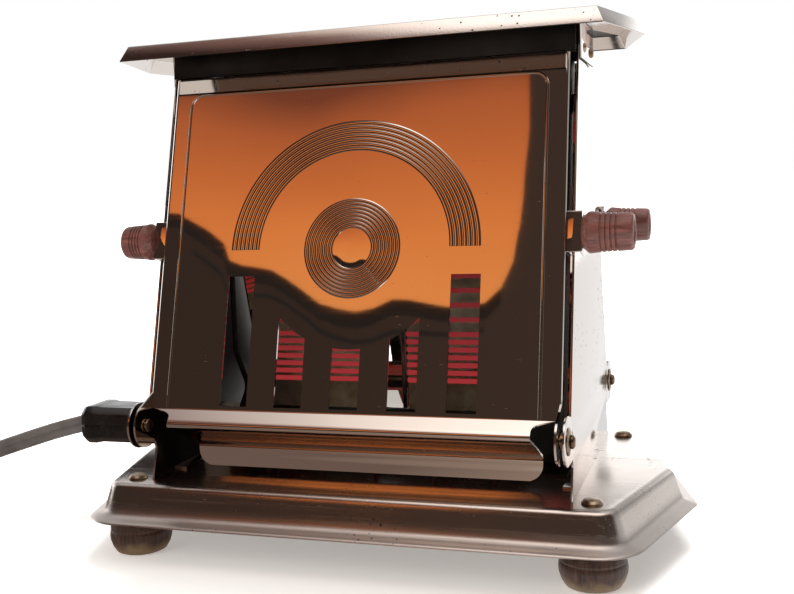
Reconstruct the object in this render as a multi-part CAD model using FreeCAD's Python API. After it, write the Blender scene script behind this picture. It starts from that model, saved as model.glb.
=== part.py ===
import FreeCAD, Part
import math
import os

# Tip-door toaster: a sheet-metal stand with two doors that hinge at their feet.
# Millimetres.  +X runs to the right along the toaster, the front door faces -Y, +Z is up.
# The origin is on the table, under the middle of the base.

V = FreeCAD.Vector
X_AXIS = V(1, 0, 0)
Y_AXIS = V(0, 1, 0)
Z_AXIS = V(0, 0, 1)
ORIGIN = V(0, 0, 0)

# ---- driving dimensions -------------------------------------------------------------

# base tray: a long hexagon in plan, with a pressed skirt
base_half_length = 91.0      # to the corners of the flat top
base_half_depth = 56.0
nose_slope = 0.268           # how much the pointed ends run out per mm of half depth
base_top_z = 27.0
skirt_drop = 12.9            # from the flat top to the lip
skirt_out = 9.5              # how far the lip stands outside the flat top
base_sheet = 0.9

# feet and their bolts
foot_x = 84.4
foot_y = 48.5
foot_radius = 11.4
foot_base_radius = 8.5
foot_stem_radius = 6.0
bolt_radius = 1.9
bolt_head_radius = 3.6
bolt_head_height = 1.9
bolt_clearance = 0.1
nut_radius = 3.2
nut_height = 2.4
nut_lift = 1.2               # nuts sit up inside the feet
nut_clearance = 0.4
bottom_lift = 0.2            # bottom plate above the lip
bottom_sheet = 0.6
bottom_inset = 4.2           # its edge inside the lip

# end plates
plate_gap = 1.8              # between a door's edge and the end plate's inner face
plate_sheet = 0.8
plate_foot_y = 49.0
plate_waist_y = 45.5
plate_waist_up = 11.0        # above the base
plate_setback = 3.2          # front edge behind the door's face
plate_flange = 5.0
lug_radius = 8.2

# doors
door_tilt = 15.4             # degrees, leaning in at the top
door_half_width = 75.6       # outside of the bent-back edges
door_height = 126.0          # along the slope
door_sheet = 0.7
door_bend = 1.5
door_face_back = 1.9         # face behind the pivot axis
door_foot_up = 6.2           # foot of the flat face above the pivot axis
pivot_in = 0.4               # pivot axis inside the edge of the base's flat top
pivot_up = 22.0              # pivot axis above the base
return_depth = 11.0
ear_radius = 8.0
shelf_inset = 9.6            # ends of the ledge and toe inside the door's edges
bead_out = 1.0               # middle of the rolled front, before the pivot axis
bead_up = 0.8
toe_in = 24.0
toe_drop = 4.4
toe_flap = 9.0
windows = 5
window_width = 10.4
window_pitch = 21.0
window_sill = 1.7            # above the foot of the flat face
window_tall = 49.0
ring_centre_up = 58.7        # above the foot of the flat face
arch_outer = 46.9
arch_inner = 35.7
rosette_outer = 18.1
rosette_inner = 7.2
relief = 0.5
bead_inset = 6.8
bead_width = 1.6

# pivots
pin_radius = 1.5
pin_fit = 0.06
pin_head_radius = 2.3
pin_head_length = 1.4
washer_height = 0.9
washer_radius = 4.6
spacer_radius = 2.7
body_gap = 0.35              # between a door and what it passes

# knobs
knob_up = 69.6               # along the door from the pivot axis
knob_back = 6.2
knob_radius = 7.0
knob_end_radius = 6.1
knob_foot_radius = 5.2
knob_chamfer = 2.2
knob_length = 17.0
front_left_knob_length = 13.0
knob_groove_at = 0.37        # first groove, as a share of the length
knob_groove_pitch = 0.10
knob_groove_depth = 0.45
knob_end_round = 1.2
tab_height = 14.2
tab_reach = 5.0
tab_sheet = 0.8
tab_front = 3.6
tab_depth = 7.0
screw_radius = 1.2
screw_head_radius = 1.7
screw_head_height = 0.9
screw_depth = 11.0

# top plate
top_half_length = 90.0
top_half_depth = 37.0
top_skirt = 5.8
top_inset = 3.1
top_sheet = 0.8
top_gap = 6.1                # from the doors' top edge to the plate's lip
hanger_half_width = 15.0
hanger_drop = 8.4
hanger_fit = 0.05
header_sheet = 0.8
header_gap = 0.8             # above the door's top edge
vent_slots = 7
vent_pitch = 20.0
vent_length = 26.0
vent_width = 3.0

# heating element
card_half_gap = 8.0
card_width = 46.0
card_thick = 1.0
card_up = 17.0               # card foot above the base
card_height = 118.0
ribbon_width = 1.8
ribbon_thick = 0.3
ribbon_close_rows = 7
ribbon_close_pitch = 3.0
ribbon_open_rows = 12
ribbon_open_pitch = 5.6
ribbon_first_up = 30.5       # above the base
board_thick = 2.4
board_height = 19.0
groove_depth = 2.0
groove_fit = 0.05
rail_width = 7.0
rail_sheet = 0.8
rail_depth = 6.0
guard_radius = 0.9
guard_pitch = 22.5
guard_foot_y = 19.0
guard_head_y = 6.5
guard_bend_up = 73.0
guard_bend_radius = 40.0
shield_half_depth = 17.0
shield_sheet = 0.5

# terminals and the connector pushed on to them
terminal_z = 36.7
terminal_radius = 2.0
terminal_spacing = 11.0
terminal_out = 24.0
terminal_fit = 0.05
block_length = 11.0
block_half_width = 11.0
block_half_height = 7.5
nose_half_height = 4.9
nose_out = 0.6
connector_gap = 0.8
connector_length = 47.0
connector_half_width = 10.0
connector_half_height = 7.4
connector_bevel_side = 2.6
connector_bevel_rise = 2.6
collar_length = 9.0
collar_half_width = 10.7
collar_half_height = 7.9
collar_swell = 3.0
collar_straight = 3.5
collar_end_share = 0.88
contact_start = 1.0
contact_length = 30.0
contact_wall = 1.35
contact_clear = 0.05
wiring_room_start = 4.0
wiring_room_length = 12.0
wiring_room_half_width = 8.0
wiring_room_half_height = 4.0
shell_screw_back = 18.0
shell_screw_radius = 1.5
shell_screw_head_radius = 2.9
shell_screw_head_height = 1.2
shell_screw_sunk = 1.6
shell_screw_wall = 0.4

# mains lead
cord_d = 7.0
cord_run = [                 # from the collar's end: x, y, and the height above the table
    (6.6, 0, 38.0), (-12.4, -2.0, 33.9), (-32.4, -6.5, 27.8), (-49.4, -12.5, 22.3), (-67.4, -21, 15.4),
    (-85.4, -32, 9.2), (-104.4, -43, 5.4), (-122.4, -51, 4.4),
]
coil_run = (-126.4, -9.0)
coil_inner_radius = 31.5
coil_outer_radius = 46.1
coil_layers = 2
coil_lift = 0.8              # the tie passes under the coil
lead_end_run = [
    (-170.2, -9.0, 18.9), (-170.3, 3.5, 18.0), (-172.9, 16, 15.4), (-177.4, 28.5, 15.0), (-182.9, 40, 15.0),
]
plug_length = 30.0
plug_radius = 15.0
plug_grip = 22.0
blade_length = 16.0
blade_spacing = 12.7
blade_width = 6.3
blade_thick = 1.5
tie_width = 6.0
tie_thick = 0.7

# ---- derived ------------------------------------------------------------------------

lip_z = base_top_z - skirt_drop
pivot_y = -(base_half_depth - pivot_in)
pivot_z = base_top_z + pivot_up
tilt = math.radians(door_tilt)
plate_half_gap = door_half_width + plate_gap
plate_outer = plate_half_gap + plate_sheet
shelf_half_width = door_half_width - shelf_inset
ear_inner = door_half_width - door_sheet
door_top = door_foot_up + door_height
door_top_z = pivot_z + door_top * math.cos(tilt) - door_face_back * math.sin(tilt)
top_lip_z = door_top_z + top_gap
top_z = top_lip_z + top_skirt
top_under_z = top_z - top_sheet


def in_door(back, up):
    """Place of a point of the closed front door: back from its pivot axis, up its slope."""
    y = pivot_y + back * math.cos(tilt) + up * math.sin(tilt)
    z = pivot_z - back * math.sin(tilt) + up * math.cos(tilt)
    return y, z


# ---- helpers ------------------------------------------------------------------------

def box(x0, x1, y0, y1, z0, z1):
    return Part.makeBox(x1 - x0, y1 - y0, z1 - z0, V(x0, y0, z0))


def rod(start, end, radius):
    start, end = V(*start), V(*end)
    return Part.makeCylinder(radius, (end - start).Length, start, end - start)


def polygon(points):
    return Part.makePolygon([V(*p) for p in points] + [V(*points[0])])


def prism(points, direction):
    return Part.Face(polygon(points)).extrude(V(*direction))


def turned(profile, origin, axis):
    """A solid turned from (radius, along) points; along runs from origin in direction axis."""
    face = Part.Face(polygon([(r, 0, a) for r, a in profile]))
    solid = face.revolve(ORIGIN, Z_AXIS, 360)
    solid.Placement = FreeCAD.Placement(V(*origin), FreeCAD.Rotation(Z_AXIS, V(*axis)))
    return solid


def offset_line(points, distance):
    """A polyline of (a, b) points moved to its left, with mitred corners."""
    moved = []
    for i, point in enumerate(points):
        before = points[max(i - 1, 0)]
        after = points[min(i + 1, len(points) - 1)]
        legs = []
        for p, q in ((before, point), (point, after)):
            length = math.hypot(q[0] - p[0], q[1] - p[1])
            if length > 0:
                legs.append(((q[0] - p[0]) / length, (q[1] - p[1]) / length))
        a, b = legs[0], legs[-1]
        shift = (-(a[1] + b[1]), a[0] + b[0])
        scale = distance / (1 + a[0] * b[0] + a[1] * b[1])
        moved.append((point[0] + shift[0] * scale, point[1] + shift[1] * scale))
    return moved


def turn_sign(before, corner, after):
    a = (corner[0] - before[0], corner[1] - before[1])
    b = (after[0] - corner[0], after[1] - corner[1])
    return 1 if a[0] * b[1] - a[1] * b[0] > 0 else -1


def rounded_edges(points, radii):
    """Straight edges joined by tangent arcs, one radius for each inner point."""
    edges = []
    start = points[0]
    for before, corner, after, radius in zip(points, points[1:], points[2:], radii):
        to_before = (before - corner).normalize()
        to_after = (after - corner).normalize()
        half_turn = (math.pi - to_before.getAngle(to_after)) / 2
        cut = radius * math.tan(half_turn)
        first = corner + to_before * cut
        last = corner + to_after * cut
        bisector = (to_before + to_after).normalize()
        middle = corner + bisector * (radius / math.cos(half_turn) - radius)
        edges.append(Part.LineSegment(start, first).toShape())
        edges.append(Part.Arc(first, middle, last).toShape())
        start = last
    edges.append(Part.LineSegment(start, points[-1]).toShape())
    return edges


def bent_sheet(points, radii, thick, to_space, width):
    """A bent strip: its middle line in (a, b), its bend radii, and where (a, b) lies in space."""
    signs = [turn_sign(*trio) for trio in zip(points, points[1:], points[2:])]
    left = [to_space(*p) for p in offset_line(points, thick / 2)]
    right = [to_space(*p) for p in offset_line(points, -thick / 2)]
    left_radii = [r - s * thick / 2 for r, s in zip(radii, signs)]
    right_radii = [r + s * thick / 2 for r, s in zip(radii, signs)]
    edges = rounded_edges(left, left_radii)
    edges.append(Part.LineSegment(left[-1], right[-1]).toShape())
    edges += rounded_edges(right[::-1], right_radii[::-1])
    edges.append(Part.LineSegment(right[0], left[0]).toShape())
    return Part.Face(Part.Wire(Part.__sortEdges__(edges))).extrude(width)


def tube(points, radius, corner_radii):
    """A round wire or cord along straight runs joined by tangent arcs."""
    spine = Part.Wire(rounded_edges(points, corner_radii))
    along = points[1] - points[0]
    circle = Part.Wire(Part.Circle(points[0], along, radius).toShape())
    return spine.makePipeShell([circle], True, True), spine.Length


def union(shapes):
    return shapes[0].multiFuse(shapes[1:]).removeSplitter() if len(shapes) > 1 else shapes[0]


def mirrored(shape):
    """The same shape on the rear side or the far end: half a turn about the upright axis."""
    copy = shape.copy()
    copy.rotate(ORIGIN, Z_AXIS, 180)
    return copy


def hexagon(half_length, half_depth, grow, z):
    """Plan outline of the base or the top plate, grown outwards by a distance."""
    run = math.hypot(1, nose_slope)
    depth = half_depth + grow
    nose = half_length + half_depth * nose_slope + grow * run
    corner = nose - depth * nose_slope
    return [(nose, 0, z), (corner, depth, z), (-corner, depth, z),
            (-nose, 0, z), (-corner, -depth, z), (corner, -depth, z)]


def hexagon_stack(half_length, half_depth, levels):
    """A solid of hexagons that grow and shrink from level to level; levels are (grow, z)."""
    rings = [polygon(hexagon(half_length, half_depth, grow, z)) for grow, z in levels]
    parts = [Part.makeLoft([low, high], True, True) for low, high in zip(rings, rings[1:])]
    return union(parts)


# ---- base and feet ------------------------------------------------------------------

def feet_places():
    return {"front_left": (-foot_x, -foot_y), "front_right": (foot_x, -foot_y),
            "rear_left": (-foot_x, foot_y), "rear_right": (foot_x, foot_y)}


def skirt_levels():
    """Levels of the pressed skirt from the lip up: its growth and its height."""
    rise = [(1.0, 0.0), (0.76, 0.11), (0.53, 0.34), (0.34, 0.80), (0.16, 0.95), (0.0, 1.0)]
    return [(skirt_out * out, lip_z + skirt_drop * up) for out, up in rise]


def make_base_shell():
    outside = hexagon_stack(base_half_length, base_half_depth, skirt_levels())
    squeeze = 1 - base_sheet / skirt_drop
    inner_levels = [(grow - base_sheet, lip_z + (z - lip_z) * squeeze) for grow, z in skirt_levels()]
    shell = outside.cut(hexagon_stack(base_half_length, base_half_depth, inner_levels))
    for x, y in feet_places().values():
        shell = shell.cut(rod((x, y, lip_z), (x, y, base_top_z + 1), bolt_radius + bolt_clearance))
    return shell


def foot_top_z():
    return base_top_z - base_sheet


def make_foot(x, y):
    """A turned wooden bun under a stem that reaches the tray's flat top, bored for its bolt."""
    shoulder = lip_z + bottom_lift
    top = foot_top_z()
    profile = [(0, 0), (foot_base_radius, 0), (foot_radius - 0.9, 2.6), (foot_radius, 5.4),
               (foot_radius, 7.6), (foot_radius - 1.0, shoulder - 3.0), (foot_radius - 2.4, shoulder),
               (foot_stem_radius, shoulder), (foot_stem_radius, top), (0, top)]
    foot = turned(profile, (x, y, 0), (0, 0, 1))
    foot = foot.cut(rod((x, y, -1), (x, y, top + 1), bolt_radius + bolt_clearance))
    return foot.cut(rod((x, y, -1), (x, y, nut_lift + nut_height), nut_radius + nut_clearance))


def make_foot_bolts():
    bolts = []
    for x, y in feet_places().values():
        head = turned([(0, 0), (bolt_head_radius, 0), (bolt_head_radius, 0.5),
                       (bolt_head_radius * 0.72, bolt_head_height * 0.82), (0, bolt_head_height)],
                      (x, y, base_top_z), (0, 0, 1))
        shank = rod((x, y, 1.0), (x, y, base_top_z), bolt_radius)
        bolts.append(head.fuse(shank).removeSplitter())
    return Part.makeCompound(bolts)


def make_foot_nuts():
    nuts = []
    for x, y in feet_places().values():
        ring = [(x + nut_radius * math.cos(math.pi * k / 3), y + nut_radius * math.sin(math.pi * k / 3), nut_lift)
                for k in range(6)]
        nut = prism(ring, (0, 0, nut_height))
        nuts.append(nut.cut(rod((x, y, 0), (x, y, base_top_z), bolt_radius + 0.02)))
    return Part.makeCompound(nuts)


def make_bottom_plate():
    """A flat closing plate inside the lip, clamped on the feet's shoulders."""
    plate = prism(hexagon(base_half_length, base_half_depth, skirt_out - bottom_inset, lip_z + bottom_lift),
                  (0, 0, bottom_sheet))
    for x, y in feet_places().values():
        plate = plate.cut(rod((x, y, 0), (x, y, base_top_z), foot_stem_radius + bolt_clearance))
    return plate


# ---- end plates ---------------------------------------------------------------------

def plate_edge(up):
    """The end plate's sloping front edge, level with a place up the door."""
    return in_door(door_face_back + plate_setback, up)


def make_end_plate(side):
    x_in = side * plate_half_gap
    x_out = side * plate_outer
    x0, x1 = sorted((x_in, x_out))
    top = (top_under_z - pivot_z + (door_face_back + plate_setback) * math.sin(tilt)) / math.cos(tilt)
    front = [plate_edge(top), plate_edge(4.0), (-plate_waist_y, base_top_z + plate_waist_up),
             (-plate_foot_y, base_top_z)]
    outline = [(x_in, y, z) for y, z in front]
    outline += [(x_in, -y, z) for y, z in reversed(front)]
    plate = prism(outline, (x_out - x_in, 0, 0))
    for y in (pivot_y, -pivot_y):
        lug = rod((x_in, y, pivot_z), (x_out, y, pivot_z), lug_radius)
        neck_y = sorted((y, y * 0.80))
        neck = box(x0, x1, neck_y[0], neck_y[1], pivot_z - lug_radius, pivot_z + lug_radius * 0.8)
        plate = plate.fuse([lug, neck])
    plate = plate.removeSplitter()
    for y in (pivot_y, -pivot_y):
        plate = plate.cut(rod((x0 - 1, y, pivot_z), (x1 + 1, y, pivot_z), pin_radius))
        slot_y = y * 0.82
        plate = plate.cut(box(x0 - 1, x1 + 1, slot_y - 0.5, slot_y + 0.5, pivot_z - 3.3, pivot_z))
    flange_x = sorted((x_in, x_in - side * plate_flange))
    flange = box(flange_x[0], flange_x[1], -plate_waist_y + 12, plate_waist_y - 12,
                 base_top_z, base_top_z + plate_sheet)
    if side < 0:
        flange = flange.cut(box(x_in + 0.01, x_in + plate_flange + 1, -block_half_width - 0.5,
                                block_half_width + 0.5, base_top_z - 1, base_top_z + 3))
    plate = plate.fuse(flange).removeSplitter()
    if side < 0:
        plate = plate.cut(box(x0 - 1, x1 + 1, -block_half_width + 2, block_half_width - 2,
                              terminal_z - nose_half_height - 0.1, terminal_z + nose_half_height + 0.1))
    return plate


# ---- doors --------------------------------------------------------------------------

def door_point(out, up):
    """A point of the door's section in the door's own upright frame, pivot axis at the origin."""
    return V(0, -out, up)


def make_window(index):
    x = (index - (windows - 1) / 2) * window_pitch
    sill = door_foot_up + window_sill
    cut = box(x - window_width / 2, x + window_width / 2, -2, door_face_back + 3, sill,
              door_foot_up + window_tall)
    if index not in (0, windows - 1):
        up = door_foot_up + ring_centre_up
        cut = cut.cut(rod((0, -9, up), (0, 9, up), arch_inner + 0.3))
    return cut


def make_ring(outer, inner, half):
    up = door_foot_up + ring_centre_up
    start = (0, door_face_back, up)
    end = (0, door_face_back - relief, up)
    ring = rod(start, end, outer).cut(rod((0, door_face_back + 1, up), (0, -2, up), inner))
    if half:
        ring = ring.cut(box(-outer - 1, outer + 1, -3, door_face_back + 1, up - outer - 1, up))
    return ring


def make_bead():
    left = door_half_width - bead_inset
    top = door_top - bead_inset
    y0, y1 = door_face_back - relief, door_face_back
    foot = door_foot_up + 1.5
    outer = box(-left, left, y0, y1, foot, top)
    inner = box(-left + bead_width, left - bead_width, y0 - 1, y1 + 1, foot - 1, top - bead_width)
    return outer.cut(inner)


def make_shelf():
    """Ledge, rolled front, toe that carries the slice, and the flap under it."""
    mid = -door_face_back - door_sheet / 2
    line = [(mid, door_foot_up + 8.0), (mid, door_foot_up + 0.2), (bead_out, bead_up),
            (-toe_in, -toe_drop), (-toe_in - 1.6, -toe_drop - toe_flap)]
    shelf = bent_sheet(line, [2.0, 1.3, 2.0], door_sheet,
                       lambda out, up: V(-ear_inner, 0, 0) + door_point(out, up), V(2 * ear_inner, 0, 0))
    w = shelf_half_width
    reach = ear_inner - w
    level = door_foot_up - bead_up
    curve = [(w, -60), (w, bead_up + 0.3), (w + 0.12 * reach, bead_up + 0.5 * level),
             (w + 0.4 * reach, bead_up + 0.8 * level), (w + 0.8 * reach, door_foot_up - 0.2),
             (w + 2 * reach, door_foot_up), (w + 2 * reach, -60)]
    for side in (-1, 1):
        shelf = shelf.cut(prism([(side * x, -20, z) for x, z in curve], (0, 80, 0)))
    return shelf


def make_ear(side):
    """The edge of the door carried down to a round lobe on the pivot."""
    x0, x1 = sorted((side * ear_inner, side * door_half_width))
    lobe = rod((x0, 0, 0), (x1, 0, 0), ear_radius)
    slant = ear_radius * 0.7
    back = door_face_back + return_depth
    arm = prism([(x0, door_face_back + door_bend, door_foot_up + 8), (x0, back, door_foot_up + 8),
                 (x0, back, door_foot_up), (x0, slant, -slant), (x0, -slant, slant),
                 (x0, door_face_back + door_bend, door_foot_up + 3)], (x1 - x0, 0, 0))
    return lobe.fuse(arm).removeSplitter()


def make_door_panel():
    half = door_half_width - door_sheet / 2
    mid = door_face_back + door_sheet / 2
    back = door_face_back + return_depth
    skin = bent_sheet([(-half, back), (-half, mid), (half, mid), (half, back)], [door_bend, door_bend],
                      door_sheet, lambda x, y: V(x, y, door_foot_up), V(0, 0, door_height))
    reliefs = [make_ring(arch_outer, arch_inner, True), make_ring(rosette_outer, rosette_inner, False),
               make_bead()]
    panel = union([skin, make_shelf()] + reliefs + [make_ear(-1), make_ear(1)])
    for side in (-1, 1):
        panel = panel.cut(rod((side * (ear_inner - 1), 0, 0), (side * (door_half_width + 1), 0, 0),
                              pin_radius + pin_fit))
    for index in range(windows):
        panel = panel.cut(make_window(index))
    return panel


def make_knob_tab(side):
    """A bent bracket on the door's edge that stands out before the end plate and carries the knob."""
    x_wall = side * door_half_width
    x_end = side * (door_half_width + tab_reach)
    s = side * tab_sheet
    low = knob_up - tab_height / 2
    high = knob_up + tab_height / 2
    back = tab_front + tab_depth
    foot = box(*sorted((x_wall, x_wall + s)), tab_front, back, low, high)
    front = box(*sorted((x_wall, x_end)), tab_front, tab_front + tab_sheet, low, high)
    leaf = box(*sorted((x_end - s, x_end)), tab_front, back, low, high)
    tab = union([foot, front, leaf])
    return tab.cut(rod((x_end - 2 * s, knob_back, knob_up), (x_end + s, knob_back, knob_up),
                       screw_radius + 0.05))


def make_knob(side, length):
    """A turned wooden knob: a short chamfer at the bracket, a slow taper and four grooves."""
    start = door_half_width + tab_reach
    taper = (knob_radius - knob_end_radius) / (length - knob_chamfer)
    profile = [(0, 0), (knob_foot_radius, 0), (knob_radius, knob_chamfer)]
    for groove in range(4):
        along = length * (knob_groove_at + knob_groove_pitch * groove)
        radius = knob_radius - taper * (along - knob_chamfer)
        profile += [(radius, along - knob_groove_depth), (radius - knob_groove_depth, along),
                    (radius, along + knob_groove_depth)]
    profile += [(knob_end_radius, length - knob_end_round), (knob_end_radius - knob_end_round, length)]
    profile += [(0, length)]
    knob = turned(profile, (side * start, knob_back, knob_up), (side, 0, 0))
    return knob.cut(rod((side * (start - 1), knob_back, knob_up),
                        (side * (start + screw_depth), knob_back, knob_up), screw_radius + 0.05))


def make_knob_screws():
    """Screws from inside each bracket's leaf into the knob."""
    screws = []
    leaf = door_half_width + tab_reach - tab_sheet
    for side in (-1, 1):
        head = rod((side * (leaf - screw_head_height), knob_back, knob_up), (side * leaf, knob_back, knob_up),
                   screw_head_radius)
        shank = rod((side * leaf, knob_back, knob_up),
                    (side * (leaf + tab_sheet + screw_depth - 0.5), knob_back, knob_up), screw_radius)
        screws.append(head.fuse(shank).removeSplitter())
    return Part.makeCompound(screws)


def hang_door(shape, rear):
    """Lean a door piece in, put it on its pivot, and turn it round for the rear side."""
    placed = shape.copy()
    placed.rotate(ORIGIN, X_AXIS, -door_tilt)
    placed.translate(V(0, pivot_y, pivot_z))
    return mirrored(placed) if rear else placed


# ---- pivots -------------------------------------------------------------------------

def make_pivot_pins(y):
    """A pin through each lug and ear, headed outside over its washer and peened inside."""
    pins = []
    head_at = plate_outer + washer_height
    peen_out = ear_inner - body_gap
    for side in (-1, 1):
        shank = rod((side * peen_out, y, pivot_z), (side * head_at, y, pivot_z), pin_radius)
        peen = rod((side * (peen_out - 0.8), y, pivot_z), (side * peen_out, y, pivot_z), pin_head_radius)
        head = turned([(0, 0), (pin_head_radius, 0), (pin_head_radius, pin_head_length * 0.5),
                       (pin_head_radius * 0.6, pin_head_length), (0, pin_head_length)],
                      (side * head_at, y, pivot_z), (side, 0, 0))
        pins.append(union([shank, peen, head]))
    return Part.makeCompound(pins)


def make_cup_washers():
    """Cupped washers between the lugs and the pin heads, rim towards the lug."""
    washers = []
    hole = pin_radius + 0.05
    for y in (pivot_y, -pivot_y):
        for side in (-1, 1):
            profile = [(hole, washer_height), (pin_head_radius, washer_height), (washer_radius, 0.3),
                       (washer_radius, 0.0), (washer_radius - 1.0, 0.0), (hole, washer_height - 0.5)]
            washers.append(turned(profile, (side * plate_outer, y, pivot_z), (side, 0, 0)))
    return Part.makeCompound(washers)


def make_spacers():
    """Rings on the pins that keep the ears off the lugs."""
    rings = []
    for y in (pivot_y, -pivot_y):
        for side in (-1, 1):
            start = (side * (door_half_width + body_gap), y, pivot_z)
            end = (side * plate_half_gap, y, pivot_z)
            rings.append(rod(start, end, spacer_radius).cut(rod(start, end, pin_radius + 0.05)))
    return Part.makeCompound(rings)


# ---- top plate and headers ----------------------------------------------------------

def make_top_plate():
    """A shallow pressed lid with sloping skirts, hangers at its ends and slots over the element."""
    slim = top_sheet
    outside = hexagon_stack(top_half_length - top_inset, top_half_depth - top_inset,
                            [(top_inset, top_lip_z), (0, top_z)])
    inside = hexagon_stack(top_half_length - top_inset, top_half_depth - top_inset,
                           [(top_inset - slim, top_lip_z), (-slim * 0.6, top_under_z)])
    lid = outside.cut(inside)
    for side in (-1, 1):
        x0, x1 = sorted((side * (plate_outer + hanger_fit), side * (plate_outer + hanger_fit + slim)))
        hanger = box(x0, x1, -hanger_half_width, hanger_half_width, top_lip_z - hanger_drop, top_under_z)
        lid = lid.fuse(hanger)
    lid = lid.removeSplitter()
    for index in range(vent_slots):
        x = (index - (vent_slots - 1) / 2) * vent_pitch
        lid = lid.cut(box(x - vent_width / 2, x + vent_width / 2, -vent_length / 2, vent_length / 2,
                          top_under_z - 1, top_z + 1))
    return lid


def hanger_rivet_places():
    return [(side, y) for side in (-1, 1) for y in (-hanger_half_width * 0.6, hanger_half_width * 0.6)]


def make_hanger_rivets():
    rivets = []
    for side, y in hanger_rivet_places():
        outer = plate_outer + hanger_fit + top_sheet
        z = top_lip_z - hanger_drop / 2
        rivets.append(turned([(0, 0), (1.8, 0), (1.3, 0.8), (0, 1.0)], (side * outer, y, z), (side, 0, 0)))
    return Part.makeCompound(rivets)


def make_header(rear):
    """A folded cross strip under the lid that ties the end plates above the door."""
    y, z = in_door(door_face_back + 1.2, door_top)
    line = [(y, z + header_gap), (y + 1.7, top_under_z - header_sheet / 2),
            (y + 9.0, top_under_z - header_sheet / 2)]
    strip = bent_sheet(line, [1.2], header_sheet, lambda a, b: V(-plate_half_gap, a, b),
                       V(2 * plate_half_gap, 0, 0))
    return mirrored(strip) if rear else strip


# ---- heating element ----------------------------------------------------------------

card_foot_z = base_top_z + card_up
board_top_z = base_top_z + board_height


def make_card(side):
    x0, x1 = sorted((side * card_half_gap, side * (card_half_gap + card_width)))
    return box(x0, x1, -card_thick / 2, card_thick / 2, card_foot_z, card_foot_z + card_height)


def ribbon_rows():
    rows = [base_top_z + ribbon_first_up + k * ribbon_close_pitch for k in range(ribbon_close_rows)]
    rows += [rows[-1] + (k + 1) * ribbon_open_pitch for k in range(ribbon_open_rows)]
    return rows


def make_ribbon(side):
    """Flat resistance ribbon wound round a card: close turns below, open turns above."""
    x0, x1 = sorted((side * card_half_gap, side * (card_half_gap + card_width)))
    half = card_thick / 2
    t = ribbon_thick
    turns = []
    for z in ribbon_rows():
        loop = box(x0 - t, x1 + t, -half - t, half + t, z - ribbon_width / 2, z + ribbon_width / 2)
        turns.append(loop.cut(box(x0, x1, -half, half, z - ribbon_width, z + ribbon_width)))
    return Part.makeCompound(turns)


def make_lower_board():
    """Insulating board across the base that the cards stand in, with a small slot at each end."""
    end = plate_half_gap - plate_flange - 0.3
    board = box(-end, end, -board_thick / 2, board_thick / 2,
                base_top_z, board_top_z)
    board = board.cut(box(-plate_half_gap - 1, -plate_half_gap + block_length + 1.5, -10, 10,
                          base_top_z - 1, board_top_z + 1))
    for side in (-1, 1):
        x0, x1 = sorted((side * (card_half_gap - groove_fit), side * (card_half_gap + card_width + groove_fit)))
        half = card_thick / 2 + groove_fit
        board = board.cut(box(x0, x1, -half, half, card_foot_z, board_top_z + 1))
    slot_x = card_half_gap + card_width + 10
    return board.cut(box(slot_x, slot_x + 4.4, -5, 5, base_top_z + 6, base_top_z + 7.2))


def make_upper_rail():
    """An inverted channel between the end plates that grips the tops of the cards."""
    z1 = card_foot_z + card_height + rail_sheet
    z0 = z1 - rail_depth
    outer = box(-plate_half_gap, plate_half_gap, -rail_width / 2, rail_width / 2, z0, z1)
    inner = box(-plate_half_gap - 1, plate_half_gap + 1, -rail_width / 2 + rail_sheet,
                rail_width / 2 - rail_sheet, z0 - 1, z1 - rail_sheet)
    return outer.cut(inner)


def make_card_strips():
    """Insulating strips either side of the cards inside the upper channel."""
    z1 = card_foot_z + card_height
    z0 = z1 - rail_depth + rail_sheet + 1.0
    gap = card_thick / 2 + groove_fit
    strips = []
    for side in (-1, 1):
        y0, y1 = sorted((side * gap, side * (rail_width / 2 - rail_sheet - 0.02)))
        strips.append(box(-card_half_gap - card_width, card_half_gap + card_width, y0, y1, z0, z1 - 0.02))
    return Part.makeCompound(strips)


def make_guards(rear):
    """Upright wires that keep the slice off the ribbon, bent in above the toe's swing."""
    head_z = top_under_z - 3.0
    wires = []
    for k in range(5):
        x = (k - 2) * guard_pitch
        points = [V(x, -guard_foot_y, base_top_z), V(x, -guard_foot_y, base_top_z + guard_bend_up),
                  V(x, -guard_head_y, head_z)]
        wires.append(tube(points, guard_radius, [guard_bend_radius])[0])
    group = Part.makeCompound(wires)
    return mirrored(group) if rear else group


def make_guard_bar(rear):
    """The cross bar at the guards' heads, held in the end plates, with a hole for each wire."""
    head_z = top_under_z - 3.0
    run = guard_foot_y - guard_head_y
    climb = head_z - base_top_z - guard_bend_up
    z0, z1 = head_z - 5.0, head_z + 1.2
    middle_y = -guard_head_y
    bar = box(-plate_half_gap, plate_half_gap, middle_y - 2.4, middle_y + 1.8, z0, z1)
    for k in range(5):
        x = (k - 2) * guard_pitch
        lean = V(0, run, climb).normalize()
        start = V(x, middle_y, head_z) - lean * 12
        bar = bar.cut(Part.makeCylinder(guard_radius + 0.03, 12.05, start, lean))
    return mirrored(bar) if rear else bar


def make_heat_shield():
    """A bright reflector sheet under the element, cut round the board and the guards."""
    sheet = box(-plate_half_gap + plate_flange + 1, plate_half_gap - plate_flange - 1, -shield_half_depth,
                shield_half_depth, base_top_z + 0.02, base_top_z + 0.02 + shield_sheet)
    sheet = sheet.cut(box(-100, 100, -board_thick / 2 - 0.3, board_thick / 2 + 0.3, 0, 100))
    return sheet.cut(box(-100, -plate_half_gap + block_length + 2, -block_half_width - 1, block_half_width + 1,
                         0, 100))


# ---- terminals ----------------------------------------------------------------------

def terminal_ys():
    return (-terminal_spacing / 2, terminal_spacing / 2)


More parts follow.
